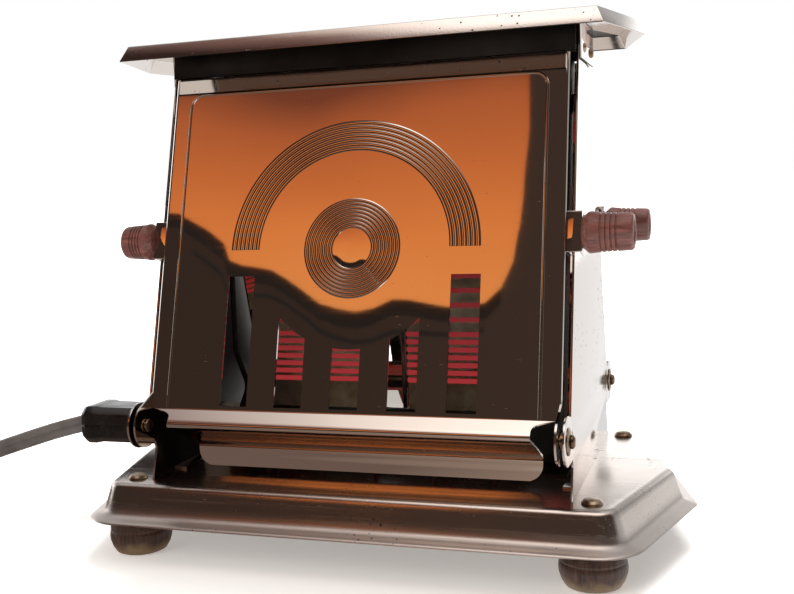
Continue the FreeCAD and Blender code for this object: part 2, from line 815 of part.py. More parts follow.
def make_terminal_block():
    """A ceramic block behind the left end plate with a nose through the plate's opening."""
    x0 = -plate_half_gap
    body = box(x0, x0 + block_length, -block_half_width, block_half_width,
               terminal_z - block_half_height, terminal_z + block_half_height)
    nose = box(-plate_outer - nose_out, x0, -block_half_width + 2.1, block_half_width - 2.1,
               terminal_z - nose_half_height, terminal_z + nose_half_height)
    block = body.fuse(nose).removeSplitter()
    for y in terminal_ys():
        block = block.cut(rod((-plate_outer - 5, y, terminal_z), (0, y, terminal_z), terminal_radius + 0.02))
    return block


def make_terminal_pins():
    """Two round pins with a waist, each with a threaded tail inside."""
    pins = []
    start = -plate_outer - terminal_out
    for y in terminal_ys():
        profile = [(0, 0), (terminal_radius - 0.9, 0), (terminal_radius, 1.2),
                   (terminal_radius, terminal_out + plate_sheet + block_length + 6.0),
                   (0, terminal_out + plate_sheet + block_length + 6.0)]
        pins.append(turned(profile, (start, y, terminal_z), (1, 0, 0)))
    return Part.makeCompound(pins)


def make_terminal_nuts():
    nuts = []
    x = -plate_half_gap + block_length
    for y in terminal_ys():
        ring = [(x, y + 4.2 * math.cos(math.pi * k / 3), terminal_z + 4.2 * math.sin(math.pi * k / 3))
                for k in range(6)]
        nut = prism(ring, (2.6, 0, 0))
        nuts.append(nut.cut(rod((x - 1, y, terminal_z), (x + 9, y, terminal_z), terminal_radius + 0.02)))
    return Part.makeCompound(nuts)


def make_lead(side):
    """A sleeved lead from a terminal to a card: the front one climbs, the rear one stays low."""
    x = -plate_half_gap + block_length + 4.3
    y = side * terminal_spacing / 2
    if side < 0:
        points = [V(x, y, terminal_z + terminal_radius), V(x, y, terminal_z + 8),
                  V(x + 4.0, y, terminal_z + 18), V(x - 1.0, y, terminal_z + 32), V(x - 1.0, y, terminal_z + 84),
                  V(x + 5.0, y + 0.6, terminal_z + 98), V(-card_half_gap - card_width + 2, -card_thick / 2 - 1.3,
                                                       terminal_z + 104)]
        return tube(points, 1.1, [6.0, 9.0, 9.0, 9.0, 6.0])[0]
    points = [V(x, y, terminal_z + terminal_radius), V(x, y, terminal_z + 9),
              V(x + 6, card_thick / 2 + 3.5, terminal_z + 13.5),
              V(-card_half_gap - card_width + 2, card_thick / 2 + 1.3, terminal_z + 14)]
    return tube(points, 1.1, [3.0, 4.0])[0]


# ---- connector ----------------------------------------------------------------------

connector_front = -plate_outer - nose_out - connector_gap
connector_back = connector_front - connector_length
collar_back = connector_back - collar_length
cord_points = [(collar_back + x, y, z) for x, y, z in cord_run]
coil_centre = (collar_back + coil_run[0], coil_run[1])
lead_end = [(collar_back + x, y, z) for x, y, z in lead_end_run]


def bevelled_section(x, half_width, half_height, side, rise):
    points = [(half_width, half_height - rise), (half_width - side, half_height),
              (-half_width + side, half_height), (-half_width, half_height - rise)]
    loop = points + [(-a, -b) for a, b in points]
    return [(x, a, terminal_z + b) for a, b in loop]


def make_connector_body():
    body = prism(bevelled_section(connector_front, connector_half_width, connector_half_height,
                                  connector_bevel_side, connector_bevel_rise), (-connector_length, 0, 0))
    stations = [
        (connector_back, connector_half_width, connector_half_height, 1.0),
        (connector_back - collar_swell, collar_half_width, collar_half_height, 1.0),
        (connector_back - collar_swell - collar_straight, collar_half_width, collar_half_height, 1.0),
        (collar_back, collar_half_width * collar_end_share, collar_half_height * collar_end_share, 1.0),
    ]
    rings = [polygon(bevelled_section(x, w, h, connector_bevel_side * s, connector_bevel_rise * s))
             for x, w, h, s in stations]
    parts = [Part.makeLoft([a, b], True, True) for a, b in zip(rings, rings[1:])]
    body = union([body] + parts)
    for y in terminal_ys():
        bore_end = connector_front - contact_start - contact_length - 1
        body = body.cut(rod((connector_front + 1, y, terminal_z), (bore_end, y, terminal_z),
                            terminal_radius + contact_wall + contact_clear))
    room_x = connector_back + wiring_room_start
    body = body.cut(box(room_x, room_x + wiring_room_length, -wiring_room_half_width, wiring_room_half_width,
                        terminal_z - wiring_room_half_height, terminal_z + wiring_room_half_height))
    start, toward = V(*cord_points[0]), V(*cord_points[1])
    return body.cut(rod(start, toward, cord_d / 2 + 0.15))


def make_connector_half(upper):
    """The moulded connector is two shells that part on the level of the pins."""
    low, high = (terminal_z, 2 * terminal_z) if upper else (0, terminal_z)
    wide = 2 * collar_half_width
    keep = box(collar_back - 1, connector_front + 1, -wide, wide, low, high)
    half = make_connector_body().common(keep)
    screw_x = connector_front - shell_screw_back
    half = half.cut(rod((screw_x, 0, 0), (screw_x, 0, 2 * terminal_z), shell_screw_radius + contact_clear))
    if upper:
        seat = terminal_z + connector_half_height - shell_screw_sunk
        half = half.cut(rod((screw_x, 0, seat), (screw_x, 0, 2 * terminal_z), shell_screw_head_radius + 0.3))
    return half


def make_connector_screw():
    x = connector_front - shell_screw_back
    top = terminal_z + connector_half_height - shell_screw_sunk
    head = rod((x, 0, top), (x, 0, top + shell_screw_head_height), shell_screw_head_radius)
    bottom = terminal_z - connector_half_height + shell_screw_wall
    shank = rod((x, 0, bottom), (x, 0, top), shell_screw_radius)
    return head.fuse(shank).removeSplitter()


def make_contacts():
    """Split brass sleeves that grip the terminal pins."""
    sleeves = []
    outer = terminal_radius + contact_wall
    slit_half = 0.5
    for y in terminal_ys():
        start = (connector_front - contact_start, y, terminal_z)
        end = (connector_front - contact_start - contact_length, y, terminal_z)
        sleeve = rod(start, end, outer).cut(rod(start, end, terminal_radius + terminal_fit))
        y0, y1 = sorted((y, y + math.copysign(outer + 1, y)))
        sleeves.append(sleeve.cut(box(end[0] - 1, start[0] + 1, y0, y1,
                                      terminal_z - slit_half, terminal_z + slit_half)))
    return Part.makeCompound(sleeves)


# ---- mains lead ---------------------------------------------------------------------

def corner_radii(points):
    """Each bend is as large as its shorter run allows."""
    radii = []
    for before, corner, after in zip(points, points[1:], points[2:]):
        to_before = before - corner
        to_after = after - corner
        half_turn = (math.pi - to_before.getAngle(to_after)) / 2
        radii.append(0.45 * min(to_before.Length, to_after.Length) / math.tan(half_turn))
    return radii


def make_lead_tube(points, label):
    line = [V(*p) for p in points]
    radii = corner_radii(line)
    solid, length = tube(line, cord_d / 2, radii)
    expected = math.pi * (cord_d / 2) ** 2 * length
    print(label, "length", round(length, 1), "radii", [round(r) for r in radii],
          "volume ratio", round(solid.Volume / expected, 4))
    return solid


coil_height = coil_layers * (cord_d + 0.2)


def make_coil():
    """Outer shape of the tied coil: a flat ring on the table."""
    x, y = coil_centre
    ring = rod((x, y, coil_lift), (x, y, coil_lift + coil_height), coil_outer_radius)
    return ring.cut(rod((x, y, -1), (x, y, 60), coil_inner_radius))


def make_tie():
    """A strap round the coil's section on the side nearest the toaster."""
    x, y = coil_centre
    t = tie_thick
    top = coil_lift + coil_height
    x_in = x + math.sqrt(coil_inner_radius ** 2 - (tie_width / 2) ** 2) - t - 0.3
    loop = box(x_in, x + coil_outer_radius + t, y - tie_width / 2, y + tie_width / 2, coil_lift - t, top + t)
    hole = rod((x, y, coil_lift), (x, y, top), coil_outer_radius + 0.02)
    hole = hole.cut(rod((x, y, -1), (x, y, 60), coil_inner_radius - 0.02))
    return loop.cut(hole)


def plug_axis():
    end = V(*lead_end[-1])
    return end, (end - V(*lead_end[-2])).normalize()


def make_plug_body():
    """A turned two-blade plug with a finger groove, standing on its rim's flats."""
    end, along = plug_axis()
    start = end + along * plug_grip
    profile = [(0, 0), (7.5, 0), (11.0, 4.0), (plug_radius - 2.4, 9.0), (plug_radius - 2.4, 15.0),
               (plug_radius, 20.0), (plug_radius, plug_length - 1.5), (plug_radius - 1.5, plug_length),
               (0, plug_length)]
    return turned(profile, (start.x, start.y, start.z), (along.x, along.y, 0))


def make_plug_grip():
    """The tapered relief where the lead enters the plug."""
    end, along = plug_axis()
    profile = [(0, 0), (cord_d / 2 + 0.8, 0), (6.4, plug_grip), (0, plug_grip)]
    return turned(profile, (end.x, end.y, end.z), (along.x, along.y, 0))


def make_plug_blades():
    end, along = plug_axis()
    blades = []
    face = plug_grip + plug_length
    for side in (-1, 1):
        blade = box(face, face + blade_length, side * blade_spacing / 2 - blade_thick / 2,
                    side * blade_spacing / 2 + blade_thick / 2, -blade_width / 2, blade_width / 2)
        blade = blade.cut(rod((face + 12, side * 20, 0), (face + 12, 0, 0), 1.5))
        blade.rotate(ORIGIN, Z_AXIS, math.degrees(math.atan2(along.y, along.x)))
        blade.translate(end)
        blades.append(blade)
    return Part.makeCompound(blades)


# ---- write every piece --------------------------------------------------------------

def build():
    pieces = {
        "base_shell": make_base_shell(),
        "bottom_plate": make_bottom_plate(),
        "foot_bolts": make_foot_bolts(),
        "foot_nuts": make_foot_nuts(),
        "end_plate_left": make_end_plate(-1),
        "end_plate_right": make_end_plate(1),
        "top_plate": make_top_plate(),
        "hanger_rivets": make_hanger_rivets(),
        "header_front": make_header(False),
        "header_rear": make_header(True),
        "mica_card_left": make_card(-1),
        "mica_card_right": make_card(1),
        "ribbon_left": make_ribbon(-1),
        "ribbon_right": make_ribbon(1),
        "lower_board": make_lower_board(),
        "upper_rail": make_upper_rail(),
        "card_strips": make_card_strips(),
        "guards_front": make_guards(False),
        "guards_rear": make_guards(True),
        "guard_bar_front": make_guard_bar(False),
        "guard_bar_rear": make_guard_bar(True),
        "heat_shield": make_heat_shield(),
        "terminal_block": make_terminal_block(),
        "terminal_pins": make_terminal_pins(),
        "terminal_nuts": make_terminal_nuts(),
        "lead_front": make_lead(-1),
        "lead_rear": make_lead(1),
        "pivot_pins_front": make_pivot_pins(pivot_y),
        "pivot_pins_rear": make_pivot_pins(-pivot_y),
        "cup_washers": make_cup_washers(),
        "pivot_spacers": make_spacers(),
        "connector_upper": make_connector_half(True),
        "connector_lower": make_connector_half(False),
        "connector_screw": make_connector_screw(),
        "connector_contacts": make_contacts(),
        "mains_lead": make_lead_tube(cord_points, "lead"),
        "lead_coil": make_coil(),
        "lead_tail": make_lead_tube(lead_end, "tail"),
        "coil_tie": make_tie(),
        "plug_grip": make_plug_grip(),
        "plug_body": make_plug_body(),
        "plug_blades": make_plug_blades(),
    }
    for name, (x, y) in feet_places().items():
        pieces["foot_" + name] = make_foot(x, y)
    panel = make_door_panel()
    screws = make_knob_screws()
    for rear, door in ((False, "front"), (True, "rear")):
        pieces[door + "_door_panel"] = hang_door(panel, rear)
        pieces[door + "_knob_screws"] = hang_door(screws, rear)
        for side, hand in ((-1, "left"), (1, "right")):
            turned_side = -side if rear else side
            knob_size = front_left_knob_length if (door, hand) == ("front", "left") else knob_length
            pieces[door + "_knob_" + hand] = hang_door(make_knob(turned_side, knob_size), rear)
            pieces[door + "_knob_tab_" + hand] = hang_door(make_knob_tab(turned_side), rear)
    return pieces


os.makedirs("parts", exist_ok=True)
for piece_name, piece in build().items():
    if not piece.isValid():
        print("invalid shape:", piece_name)
    piece.exportStep("parts/" + piece_name + ".step")
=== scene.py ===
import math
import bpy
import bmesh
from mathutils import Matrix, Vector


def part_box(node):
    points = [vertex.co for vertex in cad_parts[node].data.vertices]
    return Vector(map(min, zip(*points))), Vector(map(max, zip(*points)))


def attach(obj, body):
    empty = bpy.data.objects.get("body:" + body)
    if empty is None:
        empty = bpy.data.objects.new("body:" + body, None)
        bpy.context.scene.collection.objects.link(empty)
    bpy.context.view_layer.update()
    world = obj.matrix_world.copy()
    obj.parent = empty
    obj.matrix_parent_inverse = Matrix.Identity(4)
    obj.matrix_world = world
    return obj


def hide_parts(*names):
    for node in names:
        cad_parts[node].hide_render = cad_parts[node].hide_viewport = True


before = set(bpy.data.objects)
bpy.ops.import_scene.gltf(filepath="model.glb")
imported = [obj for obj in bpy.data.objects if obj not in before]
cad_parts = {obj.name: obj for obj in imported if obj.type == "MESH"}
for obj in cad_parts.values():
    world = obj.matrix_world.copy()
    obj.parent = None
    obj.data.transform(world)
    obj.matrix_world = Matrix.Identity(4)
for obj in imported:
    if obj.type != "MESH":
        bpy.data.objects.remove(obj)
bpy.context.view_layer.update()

# %% [markdown]
# A tip-door toaster.  Bread stands between a sloping chromed door and a glowing element.  When a
# door is tipped open its toe lifts the slice and turns it round.  The CAD frame gives every place;
# here the pieces that show get rolled edges, pressed ridges and real finishes.

# %% [markdown]
# Pieces are shaped as a bmesh, which is a mesh held in memory with operators such as spin, bevel
# and bridge.  Dimensions are written in millimetres, and MM turns them to Blender's metres.

MM = 0.001

# %% [markdown]
# The camera comes first.  It stands a little to the right of the toaster, about level with the
# middle of the door, and is turned and tipped by small angles.  A matrix built from the three
# turns says this more plainly than one set of Euler angles would.

# %% Camera
camera_data = bpy.data.cameras.new("camera")
camera_data.sensor_width = 36.0
camera_data.lens = 47.62
camera_data.clip_start = 0.01
camera = bpy.data.objects.new("camera", camera_data)
bpy.context.collection.objects.link(camera)
turn = (Matrix.Rotation(math.radians(18.157), 4, "Z") @ Matrix.Rotation(math.radians(-5.617), 4, "X")
        @ Matrix.Rotation(math.radians(2.046), 4, "Y") @ Matrix.Rotation(math.radians(90), 4, "X"))
eye = Vector((130.25, -384.11, 129.60)) * MM
camera.matrix_world = Matrix.Translation(eye) @ turn
bpy.context.scene.camera = camera
print("camera stands", round(eye.length, 3), "m from the origin")

# %% [markdown]
# Colours are picked as they look on a screen, so one function turns a hex value to linear light.
# A second one adds a shader node of any kind with its settings and links, a colour ramp's stops
# among them.  Patterns read Object coordinates, which are metres on the toaster, so a scale is one
# over a real size in metres.  Every material starts from the
# Principled shader, and constant values go straight on its sockets.

# %% Colour and node helpers
def linear(hex_value):
    """An sRGB hex colour as linear red, green, blue and alpha."""
    channels = [int(hex_value[i:i + 2], 16) / 255 for i in (1, 3, 5)]
    return [c / 12.92 if c <= 0.04045 else ((c + 0.055) / 1.055) ** 2.4 for c in channels] + [1.0]


def add(tree, kind, settings=None, values=None, links=None):
    """A shader node: its settings, the values on its sockets, and what feeds them.

    A colour ramp's setting "stops" is its list of (place, colour).
    """
    made = tree.nodes.new(kind)
    for key, value in (settings or {}).items():
        if key != "stops":
            setattr(made, key, value)
            continue
        elements = made.color_ramp.elements
        while len(elements) < len(value):
            elements.new(0.5)
        for element, (place, colour) in zip(elements, value):
            element.position = place
            element.color = colour
    for key, value in (values or {}).items():
        made.inputs[key].default_value = value
    for key, source in (links or {}).items():
        tree.links.new(source, made.inputs[key])
    return made


def finish(name, **constants):
    """A new material with its Principled shader, and the constants on that shader's sockets."""
    material = bpy.data.materials.new(name)
    material.use_nodes = True
    shader = material.node_tree.nodes["Principled BSDF"]
    for key, value in constants.items():
        shader.inputs[key.replace("_", " ")].default_value = value
    return material, material.node_tree, shader


def grey(value):
    return [value, value, value, 1.0]


print("a middle grey on screen is", round(linear("#808080")[0], 3), "in linear light")


# %% [markdown]
# Nickel and chrome plate on pressed steel is a mirror that isn't quite flat.  The pressing leaves
# waves some 35 mm long and a few hundredths of a millimetre deep.  Years of wiping leave hair
# scratches about 0.3 mm wide along the length, drawn a little coarser here so that they show, and
# damp leaves small dark pits, mostly on the tray and the lid.  Slanting nicks some 3 mm long are
# single marks from handling.

# %% Chrome plate
hair_length, hair_width = 0.060, 0.0012
pit_spacing, patch_size, wave_length, frost_grit = 0.0024, 0.022, 0.035, 0.0009
nick_length, nick_width, nick_slant = 0.0035, 0.00035, math.radians(32)


def chrome_plate(name, pits, waves, scratches, polish, frost, hue, dull_below=None):
    material, tree, shader = finish(name, Metallic=1.0)
    here = add(tree, "ShaderNodeTexCoord").outputs["Object"]
    along = add(tree, "ShaderNodeMapping", None, {"Scale": (1 / hair_length, 1 / hair_width,
                                                            1 / hair_width)},
                {"Vector": here}).outputs["Vector"]
    hair = add(tree, "ShaderNodeTexNoise", None, {"Scale": 1.0, "Detail": 3.0, "Roughness": 0.6},
               {"Vector": along})
    worn = add(tree, "ShaderNodeValToRGB", {"stops": [(0.55, grey(polish)),
                                                      (0.80, grey(polish + scratches))]}, None,
               {"Fac": hair.outputs["Fac"]}).outputs["Color"]
    spots = add(tree, "ShaderNodeTexVoronoi", None, {"Scale": 1 / pit_spacing, "Randomness": 1.0},
                {"Vector": here})
    patches = add(tree, "ShaderNodeTexNoise", None, {"Scale": 1 / patch_size, "Detail": 2.0},
                  {"Vector": here})
    reach = add(tree, "ShaderNodeMapRange", None, {"From Min": 0.42, "From Max": 0.7, "To Min": 0.0,
                                                   "To Max": pits},
                {"Value": patches.outputs["Fac"]})
    near = add(tree, "ShaderNodeMath", {"operation": "SUBTRACT"}, None,
               {0: reach.outputs["Result"], 1: spots.outputs["Distance"]})
    pitted = add(tree, "ShaderNodeValToRGB", {"stops": [(0.0, grey(0.0)), (0.12, grey(1.0))]}, None,
                 {"Fac": near.outputs["Value"]}).outputs["Color"]
    colour = add(tree, "ShaderNodeMix", {"data_type": "RGBA"}, {6: linear(hue), 7: linear("#4a3c34")},
                 {0: pitted})
    tree.links.new(colour.outputs[2], shader.inputs["Base Color"])
    if dull_below:
        height = add(tree, "ShaderNodeSeparateXYZ", None, None, {"Vector": here})
        low = add(tree, "ShaderNodeMapRange", None, {"From Min": dull_below,
                                                     "From Max": dull_below - 0.003,
                                                     "To Min": 0.0, "To Max": 0.14},
                  {"Value": height.outputs["Z"]})
        worn = add(tree, "ShaderNodeMix", {"data_type": "RGBA", "blend_type": "ADD"}, {0: 1.0},
                   {6: worn, 7: low.outputs["Result"]}).outputs[2]
    rough = add(tree, "ShaderNodeMix", {"data_type": "RGBA"}, {7: grey(0.55)}, {0: pitted, 6: worn})
    tree.links.new(rough.outputs[2], shader.inputs["Roughness"])
    slanted = add(tree, "ShaderNodeMapping", None, {"Rotation": (0, nick_slant, 0),
                                                    "Scale": (1 / nick_length, 1 / nick_length,
                                                              1 / nick_width)},
                  {"Vector": here})
    nicks = add(tree, "ShaderNodeTexNoise", None, {"Scale": 1.0, "Detail": 0.0},
                {"Vector": slanted.outputs["Vector"]})
    nick = add(tree, "ShaderNodeMapRange", None, {"From Min": 0.87, "From Max": 0.90, "To Min": 0.0,
                                                  "To Max": 0.3},
               {"Value": nicks.outputs["Fac"]})
    rough = add(tree, "ShaderNodeMix", {"data_type": "RGBA", "blend_type": "ADD"}, {0: 1.0},
                {6: rough.outputs[2], 7: nick.outputs["Result"]})
    tree.links.new(rough.outputs[2], shader.inputs["Roughness"])
    wave = add(tree, "ShaderNodeTexNoise", None, {"Scale": 1 / wave_length, "Detail": 1.0},
               {"Vector": here})
    bump = add(tree, "ShaderNodeBump", None, {"Strength": 1.0, "Distance": waves * MM},
               {"Height": wave.outputs["Fac"]})
    grit = add(tree, "ShaderNodeTexNoise", None, {"Scale": 1 / frost_grit, "Detail": 3.0,
                                                  "Roughness": 0.7},
               {"Vector": here})
    blooms = add(tree, "ShaderNodeMapRange", None, {"From Min": 0.40, "From Max": 0.62},
                 {"Value": patches.outputs["Fac"]})
    masked = add(tree, "ShaderNodeMath", {"operation": "MULTIPLY"}, None,
                 {0: grit.outputs["Fac"], 1: blooms.outputs["Result"]})
    fine = add(tree, "ShaderNodeBump", None, {"Strength": 1.0, "Distance": frost * MM},
               {"Height": masked.outputs["Value"], "Normal": bump.outputs["Normal"]})
    tree.links.new(fine.outputs["Normal"], shader.inputs["Normal"])
    return material


door_chrome = chrome_plate("chrome_plate_door", 0.10, 0.05, 0.02, 0.03, 0.0006, "#e2dad2")
tray_chrome = chrome_plate("chrome_plate_pitted", 0.24, 0.10, 0.16, 0.10, 0.022, "#dcd3cd")
skirt_chrome = chrome_plate("chrome_plate_tray", 0.24, 0.10, 0.16, 0.21, 0.055, "#cfc4bd", 0.0205)
print("chrome made for doors and for the tray and lid")

# %% [markdown]
# Plain sheet steel and wire inside were only brushed, and heat has blued and browned them.

# %% Plain steel, plated fasteners and brass
def drawn_metal(name, light, dark, roughness, patch=0.012):
    material, tree, shader = finish(name, Metallic=1.0, Roughness=roughness)
    here = add(tree, "ShaderNodeTexCoord").outputs["Object"]
    cloud = add(tree, "ShaderNodeTexNoise", None, {"Scale": 1 / patch, "Detail": 4.0}, {"Vector": here})
    tone = add(tree, "ShaderNodeValToRGB", {"stops": [(0.35, linear(dark)), (0.65, linear(light))]}, None,
               {"Fac": cloud.outputs["Fac"]}).outputs["Color"]
    tree.links.new(tone, shader.inputs["Base Color"])
    grain = add(tree, "ShaderNodeTexNoise", None, {"Scale": 1 / 0.0006, "Detail": 2.0},
                {"Vector": add(tree, "ShaderNodeMapping", None, {"Scale": (0.1, 1, 1)},
                               {"Vector": here}).outputs["Vector"]})
    bump = add(tree, "ShaderNodeBump", None, {"Strength": 0.25, "Distance": 0.02 * MM},
               {"Height": grain.outputs["Fac"]})
    tree.links.new(bump.outputs["Normal"], shader.inputs["Normal"])
    return material


inner_steel = drawn_metal("brushed_steel_heated", "#8f8b86", "#5d5148", 0.38)
# The smoke-browned steel is partly painted shade: it darkens the lid's underside and the end plates'
# inner faces, where shade falls.
smoke_and_shade_steel = drawn_metal("steel_smoke_brown_and_painted_shade", "#4a4642", "#2b2826", 0.42, 0.03)
fastener_steel = drawn_metal("nickel_plated_steel_aged", "#b09b84", "#6f5743", 0.30, 0.004)
brass = drawn_metal("drawn_brass", "#c09a55", "#8d6c36", 0.28, 0.006)
print("sheet steel in two states, plated fasteners and brass made")

# %% [markdown]
# The knobs and feet are turned beech or birch, stained and varnished.  Turning leaves fine rings
# round the piece and the grain runs along it in streaks about 1 mm apart.  Hands and tables wear
# the stain off the edges, so the feet are paler where they stand.

# %% Stained turned wood
def turned_wood(name, light, dark, grain_axis, roughness, worn=None):
    material, tree, shader = finish(name, Roughness=roughness, Coat_Weight=0.35, Coat_Roughness=0.22)
    here = add(tree, "ShaderNodeTexCoord").outputs["Object"]
    stretch = [1 / 0.0009, 1 / 0.0009, 1 / 0.0009]
    stretch[grain_axis] = 1 / 0.012
    streaks = add(tree, "ShaderNodeTexNoise", None, {"Scale": 1.0, "Detail": 5.0, "Roughness": 0.65},
                  {"Vector": add(tree, "ShaderNodeMapping", None, {"Scale": stretch},
                                 {"Vector": here}).outputs["Vector"]})
    tone = add(tree, "ShaderNodeValToRGB", {"stops": [(0.32, linear(dark)), (0.68, linear(light))]}, None,
               {"Fac": streaks.outputs["Fac"]}).outputs["Color"]
    if worn:
        height = add(tree, "ShaderNodeSeparateXYZ", None, None, {"Vector": here})
        patch = add(tree, "ShaderNodeTexNoise", None, {"Scale": 1 / 0.006, "Detail": 4.0},
                    {"Vector": here})
        edge = add(tree, "ShaderNodeMath", {"operation": "MULTIPLY_ADD"}, {1: 0.006, 2: 0.0005},
                   {0: patch.outputs["Fac"]})
        low = add(tree, "ShaderNodeMapRange", None, {"From Min": -0.0015, "From Max": 0.0015,
                                                     "To Min": 0.85, "To Max": 0.0},
                  {"Value": add(tree, "ShaderNodeMath", {"operation": "SUBTRACT"}, None,
                                {0: height.outputs["Z"], 1: edge.outputs["Value"]}).outputs["Value"]})
        tone = add(tree, "ShaderNodeMix", {"data_type": "RGBA"}, {7: linear(worn)},
                   {0: low.outputs["Result"], 6: tone}).outputs[2]
    tree.links.new(tone, shader.inputs["Base Color"])
    bump = add(tree, "ShaderNodeBump", None, {"Strength": 0.5, "Distance": 0.06 * MM},
               {"Height": streaks.outputs["Fac"]})
    tree.links.new(bump.outputs["Normal"], shader.inputs["Normal"])
    return material


knob_wood = turned_wood("stained_birch_knob", "#7d4a40", "#4a2621", 0, 0.48)
foot_wood = turned_wood("stained_beech_foot", "#5a4034", "#2a1b16", 2, 0.5, "#86704f")
print("two stained woods made")

# %% [markdown]
# Black phenolic moulding is shiny when new and dulls along its edges; the rubber lead has a matt,
# slightly dusty skin.  Both are dielectrics whose detail is in the roughness and a fine bump.

# %% Phenolic, rubber, board, mica and ceramic
def dull_solid(name, light, dark, low_rough, high_rough, patch, grit, depth, **more):
    material, tree, shader = finish(name, **more)
    here = add(tree, "ShaderNodeTexCoord").outputs["Object"]
    cloud = add(tree, "ShaderNodeTexNoise", None, {"Scale": 1 / patch, "Detail": 5.0}, {"Vector": here})
    tree.links.new(add(tree, "ShaderNodeValToRGB", {"stops": [(0.35, linear(dark)),
                                                              (0.7, linear(light))]}, None,
                       {"Fac": cloud.outputs["Fac"]}).outputs["Color"],
                   shader.inputs["Base Color"])
    tree.links.new(add(tree, "ShaderNodeValToRGB", {"stops": [(0.3, grey(low_rough)),
                                                              (0.7, grey(high_rough))]}, None,
                       {"Fac": cloud.outputs["Fac"]}).outputs["Color"],
                   shader.inputs["Roughness"])
    fine = add(tree, "ShaderNodeTexNoise", None, {"Scale": 1 / grit, "Detail": 3.0}, {"Vector": here})
    bump = add(tree, "ShaderNodeBump", None, {"Strength": 0.6, "Distance": depth * MM},
               {"Height": fine.outputs["Fac"]})
    tree.links.new(bump.outputs["Normal"], shader.inputs["Normal"])
    return material


phenolic = dull_solid("black_phenolic_moulded", "#171514", "#080807", 0.16, 0.34, 0.009, 0.0007, 0.03)
rubber = dull_solid("grey_rubber_sheath", "#6a6461", "#453f3c", 0.5, 0.72, 0.014, 0.0005, 0.04)
tie_rubber = dull_solid("black_rubber_strap", "#2c2926", "#191715", 0.55, 0.75, 0.008, 0.0006, 0.04)
sleeve = dull_solid("black_glass_fibre_sleeve", "#2a2a28", "#0d0d0c", 0.6, 0.85, 0.002, 0.0005, 0.08)
mica = dull_solid("mica_sheet", "#b9a98c", "#756347", 0.25, 0.5, 0.010, 0.0012, 0.05,
                  Specular_IOR_Level=0.6)
board = dull_solid("pressed_fibre_board", "#3a3d38", "#1d1f1c", 0.6, 0.8, 0.012, 0.0008, 0.06)
ceramic = dull_solid("unglazed_porcelain", "#dcd6c8", "#bdb39e", 0.55, 0.75, 0.01, 0.0006, 0.03)
print("seven dull solids made")

# %% [markdown]
# Nickel-chromium ribbon glows red.  The close turns at the foot run hottest, so the glow falls
# with height, which a ramp on the Z coordinate gives.

# %% Glowing ribbon
def hot_ribbon():
    material, tree, shader = finish("nickel_chromium_ribbon_hot", Metallic=0.6, Roughness=0.5,
                                    Base_Color=linear("#6d2c22"), Emission_Strength=1.0)
    here = add(tree, "ShaderNodeTexCoord").outputs["Object"]
    height = add(tree, "ShaderNodeSeparateXYZ", None, None, {"Vector": here})
    level = add(tree, "ShaderNodeMapRange", None, {"From Min": 0.052, "From Max": 0.135},
                {"Value": height.outputs["Z"]})
    glow = add(tree, "ShaderNodeValToRGB", {"stops": [(0.0, [0.36, 0.030, 0.034, 1]),
                                                      (0.35, [0.18, 0.016, 0.020, 1]),
                                                      (1.0, [0.05, 0.005, 0.006, 1])]}, None,
               {"Fac": level.outputs["Result"]}).outputs["Color"]
    tree.links.new(glow, shader.inputs["Emission Color"])
    return material


ribbon_hot = hot_ribbon()
print(len(bpy.data.materials), "materials so far")

# %% [markdown]
# Pieces leave bmesh through one function: it links the object, marks creases sharp by angle, gives
# the finish, says which body carries the piece and hides the CAD nodes it stands for.

# %% Piece helpers
def piece(bm, name, material, body, stands_for=(), crease=35):
    bmesh.ops.recalc_face_normals(bm, faces=bm.faces)
    limit = math.radians(crease)
    for edge in bm.edges:
        edge.smooth = len(edge.link_faces) == 2 and edge.calc_face_angle() < limit
    for face in bm.faces:
        face.smooth = True
    mesh = bpy.data.meshes.new(name)
    bm.to_mesh(mesh)
    bm.free()
    mesh.materials.append(material)
    made = bpy.data.objects.new(name, mesh)
    bpy.context.collection.objects.link(made)
    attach(made, body)
    if stands_for:
        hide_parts(*stands_for)
    return made


def softened(node, material, body, width=0.2, crease=28, segments=2):
    """A copy of a CAD node with its sharp edges broken, which stands for the node."""
    bm = bmesh.new()
    bm.from_mesh(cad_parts[node].data)
    bmesh.ops.remove_doubles(bm, verts=bm.verts, dist=0.004 * MM)
    bmesh.ops.dissolve_limit(bm, angle_limit=math.radians(0.6), verts=bm.verts, edges=bm.edges)
    sharp = [e for e in bm.edges if len(e.link_faces) == 2 and e.calc_face_angle() > math.radians(crease)]
    bmesh.ops.bevel(bm, geom=sharp, offset=width * MM, segments=segments, profile=0.5, affect="EDGES",
                    material=-1, clamp_overlap=False)
    bmesh.ops.triangulate(bm, faces=[f for f in bm.faces if len(f.verts) > 4])
    return piece(bm, node + "_soft", material, body, (node,), 40)


def inner_faces(made, material, side):
    """Give the faces that look towards the middle of the toaster a second finish, here dark steel as
    painted shade.
    """
    made.data.materials.append(material)
    for face in made.data.polygons:
        if face.normal.x * side < -0.7:
            face.material_index = 1


def copy_of(bm, matrix):
    """The same mesh moved by a matrix."""
    made = bm.copy()
    bmesh.ops.transform(made, matrix=matrix, verts=made.verts)
    return made


# %% [markdown]
# The mains lead is flat twin flex, 7 mm tall with a groove between its two cores.  Its line is one
# NURBS spline through a few chosen points, straight out of the connector and down to the table, and
# then the turns of the put-away coil.  A figure-of-eight section follows that line.

